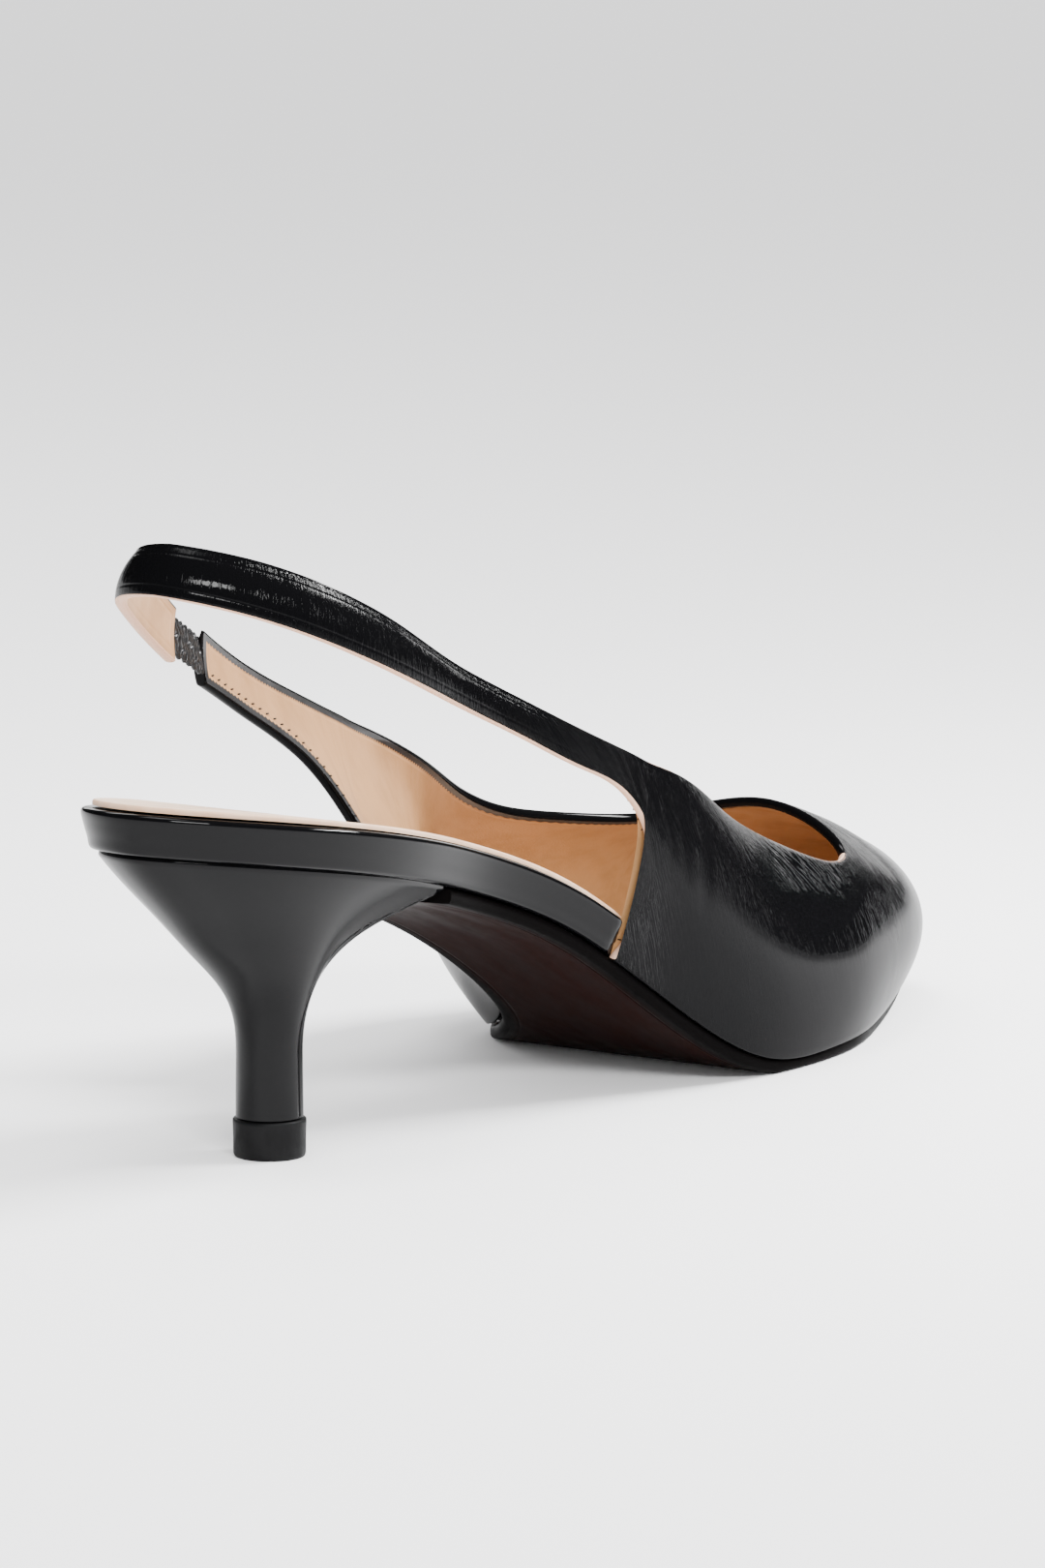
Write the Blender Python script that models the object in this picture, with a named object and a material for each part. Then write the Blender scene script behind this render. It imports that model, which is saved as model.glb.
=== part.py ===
"""Slingback pump with a pointed toe and a kitten heel, right shoe.

Units are metres. The origin lies in the middle of the top lift's underside. +X points to the toe,
+Y to the inner side of the foot and +Z up.

The shoe is drawn from one last. A short table gives its outline along the foot, a second one the
height of its underside, a third one the height of its crown. Every other piece takes its edges from
these three tables, so all pieces fit when a named size changes.
"""

import math

import bmesh
import bpy
import numpy as np

# Named sizes
LAST_LENGTH = 0.240          # back of the seat to the tip of the toe
SEAT_BACK = -0.0367          # where the seat ends behind the middle of the top lift
BALL_WIDTH = 0.070           # across the last's underside at the ball
HEEL_HEIGHT = 0.0562         # floor to the underside of the covered insole at the back
CROWN_HEIGHT = 0.100         # underside of the last to its crown over the seat
SEAT_SIDE = 0.0028           # the seat's back lies a little to the inner side
TOE_TIP_SIDE = 0.0017        # and so does the toe's tip
LOW_FULLNESS = 0.8           # how much fuller the walls are low down than high up
ANKLE_X = 0.012              # the crown of the last stops here, under the leg
UPPER_WALL = 0.0017          # outer leather and lining together
CLEARANCE = 0.0003           # left free between two pieces that meet
INSOLE_THICK = 0.0074        # wrapped insole at the seat and the waist
INSOLE_THIN = 0.0036         # the same board under the toes
SOCK_THICK = 0.0009
SOLE_THICK = 0.0022
SOLE_INSET = 0.0008          # the outsole stands back from the upper's lower edge
TOP_LIFT_HEIGHT = 0.0066
TOP_LIFT_RADIUS = 0.0062
STEM_RADIUS = 0.0057         # the slim part of the heel
ELASTIC_THICK = 0.0016
ELASTIC_TUCK = 0.0050        # length of each end that is hidden behind the leather
BREAST_ALONG = 0.258         # where the heel's breast meets the sole, as a share of the last

# Outline of the last's underside: half widths as shares of BALL_WIDTH.
OUTLINE_COLUMNS = ("along", "outer", "inner")
OUTLINE = np.array([
    (0.03, 0.140, 0.225),
    (0.09, 0.270, 0.310),
    (0.20, 0.325, 0.345),
    (0.30, 0.292, 0.295),
    (0.40, 0.345, 0.200),
    (0.47, 0.395, 0.155),
    (0.54, 0.445, 0.215),
    (0.60, 0.478, 0.385),
    (0.66, 0.490, 0.500),
    (0.72, 0.472, 0.515),
    (0.80, 0.385, 0.440),
    (0.88, 0.272, 0.335),
    (0.94, 0.178, 0.235),
    (0.98, 0.095, 0.135),
])

# Height of the last's underside above the floor, as a share of HEEL_HEIGHT.
UNDERSIDE_COLUMNS = ("along", "height")
UNDERSIDE = np.array([
    (0.00, 1.000),
    (0.10, 0.935),
    (0.20, 0.850),
    (0.30, 0.740),
    (0.40, 0.565),
    (0.50, 0.283),
    (0.60, 0.064),
    (0.68, 0.045),
    (0.76, 0.050),
    (0.84, 0.061),
    (0.92, 0.090),
    (1.00, 0.157),
])

# Rise of the last's crown above its underside, as a share of CROWN_HEIGHT.
CROWN_COLUMNS = ("along", "rise")
CROWN = np.array([
    (0.00, 1.04),
    (0.15, 1.00),
    (0.33, 0.88),
    (0.46, 0.735),
    (0.58, 0.58),
    (0.68, 0.46),
    (0.77, 0.40),
    (0.85, 0.337),
    (0.91, 0.268),
    (0.96, 0.187),
])

# How the upper leaves the plain last, as shares of BALL_WIDTH: the crown line's place from side to
# side, the fullness of the outer and the inner wall, and how far the sling hangs forward and inward.
FORM_COLUMNS = ("along", "crown_side", "outer_full", "inner_full", "forward", "inward")
FORM = np.array([
    (0.00, 0.00, 0.000, 0.00, 0.200, 0.100),
    (0.10, 0.00, 0.000, 0.04, 0.175, 0.090),
    (0.20, 0.00, 0.010, 0.12, 0.100, 0.065),
    (0.33, 0.00, 0.030, 0.26, 0.010, 0.020),
    (0.46, 0.02, 0.055, 0.31, 0.000, 0.000),
    (0.58, 0.03, 0.065, 0.26, 0.000, 0.000),
    (0.70, 0.02, 0.055, 0.14, 0.000, 0.000),
    (0.82, 0.00, 0.078, 0.07, 0.000, 0.000),
    (0.92, 0.00, 0.068, 0.04, 0.000, 0.000),
    (1.00, 0.024, 0.00, 0.00, 0.000, 0.000),
])

# Edges of the upper. Each row is one section across the leather, from its lower edge to its top edge.
# A place on the last is named by its share along the foot (outer side negative, inner side positive)
# and by its rise, 0 at the last's underside and 1 on the crown.
EDGE_COLUMNS = ("low_along", "low_rise", "top_along", "top_rise")
OUTER_VAMP = np.array([
    (-0.807, 0.0, -0.807, 1.000),
    (-0.798, 0.0, -0.806, 0.860),
    (-0.782, 0.0, -0.800, 0.715),
    (-0.760, 0.0, -0.788, 0.605),
    (-0.730, 0.0, -0.766, 0.540),
    (-0.690, 0.0, -0.730, 0.522),
    (-0.640, 0.0, -0.680, 0.555),
    (-0.590, 0.0, -0.630, 0.575),
    (-0.540, 0.0, -0.580, 0.535),
    (-0.490, 0.0, -0.525, 0.455),
    (-0.437, 0.0, -0.470, 0.362),
])
SLING = np.array([
    (-0.437, 0.000, -0.470, 0.362),
    (-0.452, 0.055, -0.460, 0.350),
    (-0.464, 0.120, -0.451, 0.340),
    (-0.467, 0.185, -0.442, 0.330),
    (-0.461, 0.240, -0.431, 0.319),
    (-0.442, 0.262, -0.416, 0.306),
    (-0.405, 0.242, -0.390, 0.290),
    (-0.350, 0.225, -0.342, 0.276),
    (-0.280, 0.219, -0.276, 0.271),
    (-0.200, 0.217, -0.200, 0.277),
    (-0.120, 0.227, -0.120, 0.290),
    (-0.050, 0.246, -0.050, 0.307),
    (0.000, 0.260, 0.000, 0.316),
    (0.050, 0.250, 0.050, 0.306),
    (0.120, 0.232, 0.120, 0.290),
    (0.209, 0.216, 0.202, 0.276),
])
INNER_VAMP = np.array([
    (0.807, 0.0, 0.807, 1.000),
    (0.798, 0.0, 0.806, 0.870),
    (0.782, 0.0, 0.799, 0.755),
    (0.760, 0.0, 0.784, 0.675),
    (0.730, 0.0, 0.757, 0.635),
    (0.690, 0.0, 0.717, 0.615),
    (0.640, 0.0, 0.670, 0.595),
    (0.590, 0.0, 0.620, 0.575),
    (0.535, 0.0, 0.565, 0.520),
    (0.475, 0.0, 0.510, 0.435),
    (0.408, 0.0, 0.455, 0.352),
])
INNER_TAIL = np.array([
    (0.408, 0.000, 0.455, 0.352),
    (0.416, 0.055, 0.443, 0.338),
    (0.419, 0.110, 0.432, 0.326),
    (0.414, 0.155, 0.420, 0.314),
    (0.400, 0.187, 0.403, 0.300),
    (0.373, 0.202, 0.375, 0.283),
    (0.333, 0.206, 0.335, 0.272),
    (0.300, 0.210, 0.298, 0.272),
    (0.270, 0.212, 0.266, 0.275),
])

# Edge of the wrapped insole from its underside to its top, as shares of INSOLE_THICK.
INSOLE_EDGE_COLUMNS = ("height", "outward")
INSOLE_EDGE = np.array([
    (0.00, -0.08),
    (0.06, 0.02),
    (0.50, 0.13),
    (0.86, 0.21),
    (0.97, 0.17),
    (1.00, 0.06),
])

# Heel block: share of the way from the slim stem to the seat, on its back and on its breast.
HEEL_COLUMNS = ("rise", "back", "breast")
HEEL = np.array([
    (0.00, 0.025, 0.025),
    (0.12, 0.005, 0.005),
    (0.25, 0.000, 0.000),
    (0.35, 0.020, 0.000),
    (0.46, 0.120, 0.012),
    (0.60, 0.360, 0.060),
    (0.73, 0.580, 0.190),
    (0.86, 0.800, 0.480),
    (0.94, 0.920, 0.770),
    (1.00, 1.000, 1.000),
])

# How finely the faceted pieces are cut
TOE_ROWS = 15
VAMP_ROWS = 22
SLING_ROWS = 50
TAIL_ROWS = 16
WALL_COLUMNS = 9
INSOLE_ROWS = 52
SOLE_ROWS = 40
HEEL_STEPS = 40


def bend_rates(places, values):
    """Second derivatives of the smooth curve through the values, free at both ends."""
    gaps = np.diff(places)
    count = len(places)
    system = np.eye(count)
    right = np.zeros(count)
    mid = np.arange(1, count - 1)
    system[mid, mid - 1] = gaps[:-1]
    system[mid, mid] = 2.0 * (gaps[:-1] + gaps[1:])
    system[mid, mid + 1] = gaps[1:]
    slopes = np.diff(values) / gaps
    right[mid] = 6.0 * np.diff(slopes)
    return np.linalg.solve(system, right)


def curve(places, values, at):
    """Smooth curve through the values, read at the given places."""
    places = np.asarray(places, float)
    values = np.asarray(values, float)
    at = np.clip(np.asarray(at, float), places[0], places[-1])
    bend = bend_rates(places, values)
    left = np.clip(np.searchsorted(places, at) - 1, 0, len(places) - 2)
    gap = places[left + 1] - places[left]
    before, after = places[left + 1] - at, at - places[left]
    return ((bend[left] * before ** 3 + bend[left + 1] * after ** 3) / (6.0 * gap)
            + (values[left] / gap - bend[left] * gap / 6.0) * before
            + (values[left + 1] / gap - bend[left + 1] * gap / 6.0) * after)


def mirrored(values):
    """Values with two more on each side that mirror them, for a curve that turns back flat."""
    return np.concatenate([values[2:0:-1], values, values[-2:-4:-1]])


def flipped(values):
    """Values with two more on each side, turned over, for a curve that runs straight through."""
    return np.concatenate([2 * values[0] - values[2:0:-1], values, 2 * values[-1] - values[-2:-4:-1]])


class Last:
    """The form that the shoe is built on. A place is (w, rise): w runs from -1 at the toe's tip along
    the outer side to 0 at the heel's back and on to +1 at the toe's tip along the inner side."""

    def __init__(self):
        along = np.concatenate([[0.0], OUTLINE[:, 0], [1.0]])
        x = SEAT_BACK + LAST_LENGTH * along
        outer = np.concatenate([[SEAT_SIDE], -BALL_WIDTH * OUTLINE[:, 1], [TOE_TIP_SIDE]])
        inner = np.concatenate([[SEAT_SIDE], BALL_WIDTH * OUTLINE[:, 2], [TOE_TIP_SIDE]])
        steps = np.hypot(np.diff(x), np.diff((inner - outer) / 2.0))
        share = np.concatenate([[0.0], np.cumsum(steps)]) / np.sum(steps)
        self.share = np.concatenate([-share[2:0:-1], share, 2.0 - share[-2:-4:-1]])
        self.x = mirrored(x)
        self.outer = flipped(outer)
        self.inner = flipped(inner)
        self.fine = np.linspace(0.0, 1.0, 2001)
        self.fine_x = self.x_at(self.fine)
        rows = self.share_at(CROWN[:, 0])
        self.crown_share = np.concatenate([rows, [1.0], 2.0 - rows[-1:-3:-1]])
        self.crown = CROWN_HEIGHT * np.concatenate([CROWN[:, 1], [0.0], -CROWN[-1:-3:-1, 1]])

    def x_at(self, share):
        return curve(self.share, self.x, share)

    def share_at(self, along):
        return np.interp(SEAT_BACK + LAST_LENGTH * np.asarray(along, float), self.fine_x, self.fine)

    def place(self, signed_along):
        """Share along the foot with a side's sign, turned into w."""
        signed_along = np.asarray(signed_along, float)
        return np.sign(signed_along) * self.share_at(np.abs(signed_along))

    @staticmethod
    def along(x):
        return (x - SEAT_BACK) / LAST_LENGTH

    def underside(self, x):
        return HEEL_HEIGHT * curve(UNDERSIDE[:, 0], UNDERSIDE[:, 1], self.along(x))

    def form(self, column, x):
        rows = np.concatenate([-FORM[2:0:-1, 0], FORM[:, 0]])
        values = np.concatenate([FORM[2:0:-1, column], FORM[:, column]])
        return BALL_WIDTH * curve(rows, values, self.along(x))

    def edge(self, w):
        """Outline of the last's underside at w: x and y."""
        share = np.abs(w)
        x = self.x_at(share)
        y = np.where(np.asarray(w) < 0, curve(self.share, self.outer, share),
                     curve(self.share, self.inner, share))
        return x, y

    def inset_edge(self, w, inset):
        """The same outline moved inwards, square to itself."""
        w = np.asarray(w, float)
        step = 0.0004
        side = np.where(w < 0, -1.0, 1.0)
        share = np.abs(w)
        x0, y0 = self.edge(side * np.clip(share - step, 0.0, 1.0))
        x1, y1 = self.edge(side * np.clip(share + step, 0.0, 1.0))
        run_x, run_y = x1 - x0, side * (y1 - y0)
        run_x = np.where((share < step) | (share > 1.0 - step), 0.0, run_x)
        end_sign = np.where(share > 0.5, -1.0, 1.0)
        run_y = np.where((share < step) | (share > 1.0 - step), end_sign * np.abs(run_y), run_y)
        size = np.hypot(run_x, run_y)
        x, y = self.edge(w)
        return x + inset * run_y / size, y - side * inset * run_x / size

    def point(self, w, rise):
        """Point of the upper's outer face. Each section is a quarter of an ellipse from the underside's
        outline up to the crown, made fuller half way up, and moved where the sling hangs."""
        w, rise = np.broadcast_arrays(np.asarray(w, float), np.asarray(rise, float))
        side = np.where(w < 0, -1.0, 1.0)
        x, y = self.edge(w)
        z = self.underside(x)
        soft = 0.014
        crown_x = ANKLE_X + soft * np.logaddexp(0.0, (x - ANKLE_X) / soft)
        crown_y = self.form(1, x)
        height = curve(self.crown_share, self.crown, np.abs(w))
        turn = rise * math.pi / 2.0
        full = np.where(side < 0, self.form(2, x), self.form(3, x)) * np.sin(math.pi * rise)
        full = full * (1.0 + LOW_FULLNESS * (1.0 - 2.0 * rise))
        to_crown = 1.0 - np.cos(turn)
        return np.stack([
            x + (crown_x - x) * to_crown + self.form(4, x),
            y + (crown_y - y) * to_crown + side * full + self.form(5, x),
            z + height * np.sin(turn)], axis=-1)

    def outward(self, w, rise):
        """Direction square to the upper's outer face, pointing away from the foot."""
        w, rise = np.broadcast_arrays(np.asarray(w, float), np.asarray(rise, float))
        tip = np.abs(w) > 0.999
        w = np.clip(w, -0.997, 0.997)
        along = self.point(w + 0.002, rise) - self.point(w - 0.002, rise)
        over = rise > 0.99
        up = (self.point(np.where(over, -w, w), np.where(over, 0.99, rise + 0.01))
              - self.point(w, np.where(over, 0.99, rise - 0.01)))
        square = np.cross(up, along)
        square = square / np.linalg.norm(square, axis=-1, keepdims=True)
        square[tip] = (1.0, 0.0, 0.0)
        return square


LAST = Last()


def even_rows(table_sets, rows_each):
    """Rows of places for joined tables: the top edge is one smooth curve, the lower edge turns a
    corner where two tables meet."""
    joined = np.concatenate([table_sets[0]] + [table[1:] for table in table_sets[1:]])
    low = LAST.point(LAST.place(joined[:, 0]), joined[:, 1])
    top = LAST.point(LAST.place(joined[:, 2]), joined[:, 3])
    steps = (np.linalg.norm(np.diff(low, axis=0), axis=1)
             + np.linalg.norm(np.diff(top, axis=0), axis=1)) / 2.0
    run = np.concatenate([[0.0], np.cumsum(steps)])
    places = []
    start = 0
    for number, (table, rows) in enumerate(zip(table_sets, rows_each)):
        end = start + len(table) - 1
        at = np.linspace(run[start], run[end], rows + 1)
        if number:
            at = at[1:]
        own = run[start:end + 1]
        places.append(np.stack([
            curve(own, LAST.place(table[:, 0]), at),
            curve(own, table[:, 1], at),
            curve(run, LAST.place(joined[:, 2]), at),
            curve(run, joined[:, 3], at)], axis=1))
        start = end
    return np.concatenate(places)


def across(rows, columns):
    """Places between the lower and the top edge of each row."""
    share = np.linspace(0.0, 1.0, columns + 1)[None, :]
    w = rows[:, 0:1] * (1.0 - share) + rows[:, 2:3] * share
    rise = rows[:, 1:2] * (1.0 - share) + rows[:, 3:4] * share
    return w, rise


def new_piece(name, points, faces, material):
    """One object of the shoe: welded, closed, facing outwards and shaded smooth."""
    mesh = bpy.data.meshes.new(name)
    work = bmesh.new()
    corners = [work.verts.new(point) for point in points]
    for face in faces:
        if len({int(corner) for corner in face}) == len(face):
            work.faces.new([corners[int(corner)] for corner in face])
    bmesh.ops.remove_doubles(work, verts=work.verts, dist=1e-6)
    bmesh.ops.dissolve_degenerate(work, edges=work.edges, dist=1e-7)
    loose = [vert for vert in work.verts if not vert.link_faces]
    bmesh.ops.delete(work, geom=loose, context="VERTS")
    bmesh.ops.recalc_face_normals(work, faces=work.faces)
    work.to_mesh(mesh)
    work.free()
    mesh.materials.append(material)
    mesh.shade_smooth()
    mesh.set_sharp_from_angle(angle=math.radians(38.0))
    piece = bpy.data.objects.new(name, mesh)
    bpy.context.scene.collection.objects.link(piece)
    return piece


def new_material(name, colour, roughness, coat=0.0):
    material = bpy.data.materials.new(name)
    material.use_nodes = True
    shader = material.node_tree.nodes["Principled BSDF"]
    shader.inputs["Base Color"].default_value = (*colour, 1.0)
    shader.inputs["Roughness"].default_value = roughness
    shader.inputs["Coat Weight"].default_value = coat
    return material


class Sheet:
    """Collects grids of points and their four-cornered faces."""

    def __init__(self):
        self.points = []
        self.faces = []

    def add(self, grid):
        """Adds a grid of points (rows, columns, 3) and gives back their numbers."""
        start = len(self.points)
        rows, columns = grid.shape[:2]
        self.points.extend(map(tuple, grid.reshape(-1, 3)))
        return start + np.arange(rows * columns).reshape(rows, columns)

    def skin(self, numbers, turn=False):
        """Faces over a grid of numbers."""
        quads = np.stack([numbers[:-1, :-1], numbers[1:, :-1], numbers[1:, 1:], numbers[:-1, 1:]], axis=-1)
        quads = quads.reshape(-1, 4)
        self.faces.extend(map(tuple, quads[:, ::-1] if turn else quads))

    def ribbon(self, first, second):
        """Faces between two lines of numbers."""
        self.skin(np.stack([first, second], axis=0))


def wall(sheet, rows, open_edges, thickness=UPPER_WALL, columns=WALL_COLUMNS):
    """Adds a leather wall over rows of places: outer face, inner face and the named open edges."""
    w, rise = across(rows, columns)
    outer = LAST.point(w, rise)
    inner = outer - thickness * LAST.outward(w, rise)
    outside, inside = sheet.add(outer), sheet.add(inner)
    sheet.skin(outside)
    sheet.skin(inside, turn=True)
    for edge in open_edges:
        take = {"low": (slice(None), 0), "top": (slice(None), -1),
                "first": (0, slice(None)), "last": (-1, slice(None))}[edge]
        sheet.ribbon(outside[take], inside[take])


def make_upper(material):
    """Vamp, both quarters and the sling as one hollow wall, open at the throat, the sides and below."""
    sheet = Sheet()
    front = LAST.share_at(OUTER_VAMP[0, 2] * -1.0)
    shares = 1.0 - (1.0 - front) * np.linspace(0.0, 1.0, TOE_ROWS + 1) ** 1.25
    flat, full = np.zeros_like(shares), np.ones_like(shares)
    for side in (-1.0, 1.0):
        wall(sheet, np.stack([side * shares, flat, side * shares, full], axis=1), ["low"])
    wall(sheet, even_rows([OUTER_VAMP, SLING], [VAMP_ROWS, SLING_ROWS]), ["low", "top", "last"])
    wall(sheet, even_rows([INNER_VAMP, INNER_TAIL], [VAMP_ROWS, TAIL_ROWS]), ["low", "top", "last"])
    return new_piece("upper", sheet.points, sheet.faces, material)


def make_elastic(material):
    """Short elastic on the inner side, tucked behind the sling's end and behind the inner quarter."""
    strap_end, tail_end = SLING[-1], INNER_TAIL[-1]
    tuck = ELASTIC_TUCK / LAST_LENGTH
    start = strap_end + np.array([-tuck, 0.004, -tuck, -0.004])
    end = tail_end + np.array([tuck, 0.004, tuck, -0.004])
    share = np.linspace(0.0, 1.0, 17)[:, None]
    rows = start * (1.0 - share) + end * share
    rows = np.stack([LAST.place(rows[:, 0]), rows[:, 1], LAST.place(rows[:, 2]), rows[:, 3]], axis=1)
    w, rise = across(rows, 4)
    length = LAST_LENGTH * (end[0] - start[0])
    run = share * length
    free = np.clip(np.minimum(run, length - run) / ELASTIC_TUCK - 1.0, 0.0, 1.0)
    depth = UPPER_WALL + CLEARANCE - 0.0013 * np.sin(free * math.pi / 2.0)
    outward = LAST.outward(w, rise)
    face = LAST.point(w, rise) - depth[:, :, None] * outward
    back = face - ELASTIC_THICK * outward
    sheet = Sheet()
    outside, inside = sheet.add(face), sheet.add(back)
    sheet.skin(outside)
    sheet.skin(inside, turn=True)
    for take in ((slice(None), 0), (slice(None), -1), (0, slice(None)), (-1, slice(None))):
        sheet.ribbon(outside[take], inside[take])
    return new_piece("elastic", sheet.points, sheet.faces, material)


def cover(along):
    """1 where the upper wraps the insole, 0 behind the quarters, with a short ramp between."""
    start = np.where(along < 0, 0.4290, 0.4000)
    return np.clip((np.abs(along) - start) / 0.022 + 1.0, 0.0, 1.0)


def toe_room(along):
    """Extra inset near the tip of the toe, where the upper closes down over the insole."""
    return 0.0022 * np.clip((np.abs(along) - 0.93) / 0.06, 0.0, 1.0) ** 2


def insole_thickness(x):
    """Thick at the seat and the waist, thin under the ball and the toes."""
    fall = np.clip((LAST.along(x) - 0.50) / 0.14, 0.0, 1.0)
    fall = fall * fall * (3.0 - 2.0 * fall)
    return INSOLE_THICK + (INSOLE_THIN - INSOLE_THICK) * fall


def solid_of_rings(name, rings, material):
    """A solid from rings that run up its edge. A ring has the outer side from front to back and the
    inner side on to the front again, so that its first and last rows face each other."""
    sheet = Sheet()
    numbers = sheet.add(np.stack(rings))
    closed = np.concatenate([numbers, numbers[:, :1]], axis=1)
    sheet.skin(closed)
    half = numbers.shape[1] // 2
    for ring, turn in ((numbers[0], False), (numbers[-1], True)):
        outer, inner = ring[:half + 1], np.concatenate([[ring[0]], ring[:half - 1:-1]])
        middle_points = [tuple((np.array(sheet.points[a]) + np.array(sheet.points[b])) / 2.0)
                         for a, b in zip(outer, inner)]
        start = len(sheet.points)
        sheet.points.extend(middle_points)
        middle = start + np.arange(len(middle_points))
        sheet.skin(np.stack([outer, middle, inner]), turn)
    return new_piece(name, sheet.points, sheet.faces, material)


def loop_of_places(front, rows):
    """Places round the last, evenly spaced: from the front along the outer side and back again."""
    half = np.linspace(0.0, 1.0, rows + 1)
    outer = -front * (1.0 - half)
    return np.concatenate([outer, -outer[-2:0:-1]])


def make_insole(material):
    """Insole board wrapped in leather; its thick edge shows at the seat and the waist."""
    w = loop_of_places(1.0, INSOLE_ROWS)
    w = np.sign(w) * (np.abs(w) * 0.92 + 0.08 * np.sin(np.abs(w) * math.pi / 2.0))
    x, _ = LAST.edge(w)
    along = LAST.along(x) * np.where(w < 0, -1.0, 1.0)
    hidden = cover(along)
    thick = insole_thickness(x)
    rings = []
    for height, outward in INSOLE_EDGE:
        out = outward * INSOLE_THICK * (1.0 - hidden)
        bare = (UPPER_WALL + CLEARANCE * 1.7 + max(-outward, 0.0) * INSOLE_THICK) * hidden
        bare = bare + toe_room(along)
        ring_x, ring_y = LAST.inset_edge(w, bare - out)
        rings.append(np.stack([ring_x, ring_y, LAST.underside(x) + height * thick], axis=1))
    return solid_of_rings("covered_insole", rings, material)


def make_sock(material):
    """Thin leather sheet on the covered insole."""
    w = loop_of_places(1.0, INSOLE_ROWS)
    x, _ = LAST.edge(w)
    along = LAST.along(x) * np.where(w < 0, -1.0, 1.0)
    inset = 0.0004 + (UPPER_WALL + 0.0010) * cover(along) + toe_room(along)
    base = LAST.underside(x) + insole_thickness(x) + CLEARANCE
    rings = []
    for height, extra in ((0.0, 0.0), (0.7, 0.0), (1.0, 0.0003)):
        ring_x, ring_y = LAST.inset_edge(w, inset + extra)
        rings.append(np.stack([ring_x, ring_y, base + height * SOCK_THICK], axis=1))
    return solid_of_rings("sock", rings, material)


def sole_bottom(x):
    """Underside of the outsole; it lies flat on the floor under the ball."""
    return np.maximum(LAST.underside(x) - CLEARANCE - SOLE_THICK - 0.0004, 0.0)


def make_outsole(material):
    """Leather sole from the heel's breast to the toe."""
    back = LAST.share_at(BREAST_ALONG) + 0.004
    share = np.linspace(0.0, 1.0, SOLE_ROWS + 1)
    share = back + (1.0 - back) * (0.8 * share + 0.2 * np.sin(share * math.pi / 2.0))
    share[-1] = 1.0
    sheet = Sheet()
    layers = []
    for lift, inset in ((0.0, SOLE_INSET + 0.0006), (0.2, SOLE_INSET), (0.8, SOLE_INSET),
                        (1.0, SOLE_INSET + 0.0003)):
        outer_x, outer_y = LAST.inset_edge(-share, inset)
        inner_x, inner_y = LAST.inset_edge(share, inset)
        x = LAST.x_at(share)
        z = sole_bottom(x) * (1.0 - lift) + (LAST.underside(x) - CLEARANCE) * lift
        layers.append((np.stack([outer_x, outer_y, z], axis=1), np.stack([inner_x, inner_y, z], axis=1)))
    columns = np.linspace(0.0, 1.0, 5)[None, :, None]
    low = layers[0][0][:, None] * (1.0 - columns) + layers[0][1][:, None] * columns
    high = layers[-1][0][:, None] * (1.0 - columns) + layers[-1][1][:, None] * columns
    bottom, top = sheet.add(low), sheet.add(high)
    sheet.skin(bottom)
    sheet.skin(top, turn=True)
    for number, column in ((0, 0), (1, -1)):
        lines = [bottom[:, column]]
        for layer in layers[1:-1]:
            lines.append(sheet.add(layer[number][None])[0])
        lines.append(top[:, column])
        for first, second in zip(lines[:-1], lines[1:]):
            sheet.ribbon(first, second)
        if number == 0:
            outer_lines = lines
        else:
            inner_lines = lines
    rear = np.stack([np.concatenate([[outer[0]], [inner[0]]]) for outer, inner in
                     zip(outer_lines[1:-1], inner_lines[1:-1])])
    sheet.faces.append((*bottom[0, :], rear[0, 1], rear[0, 0]))
    sheet.skin(rear)
    sheet.faces.append((rear[-1, 0], rear[-1, 1], *top[0, ::-1]))
    return new_piece("outsole", sheet.points, sheet.faces, material)


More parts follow.
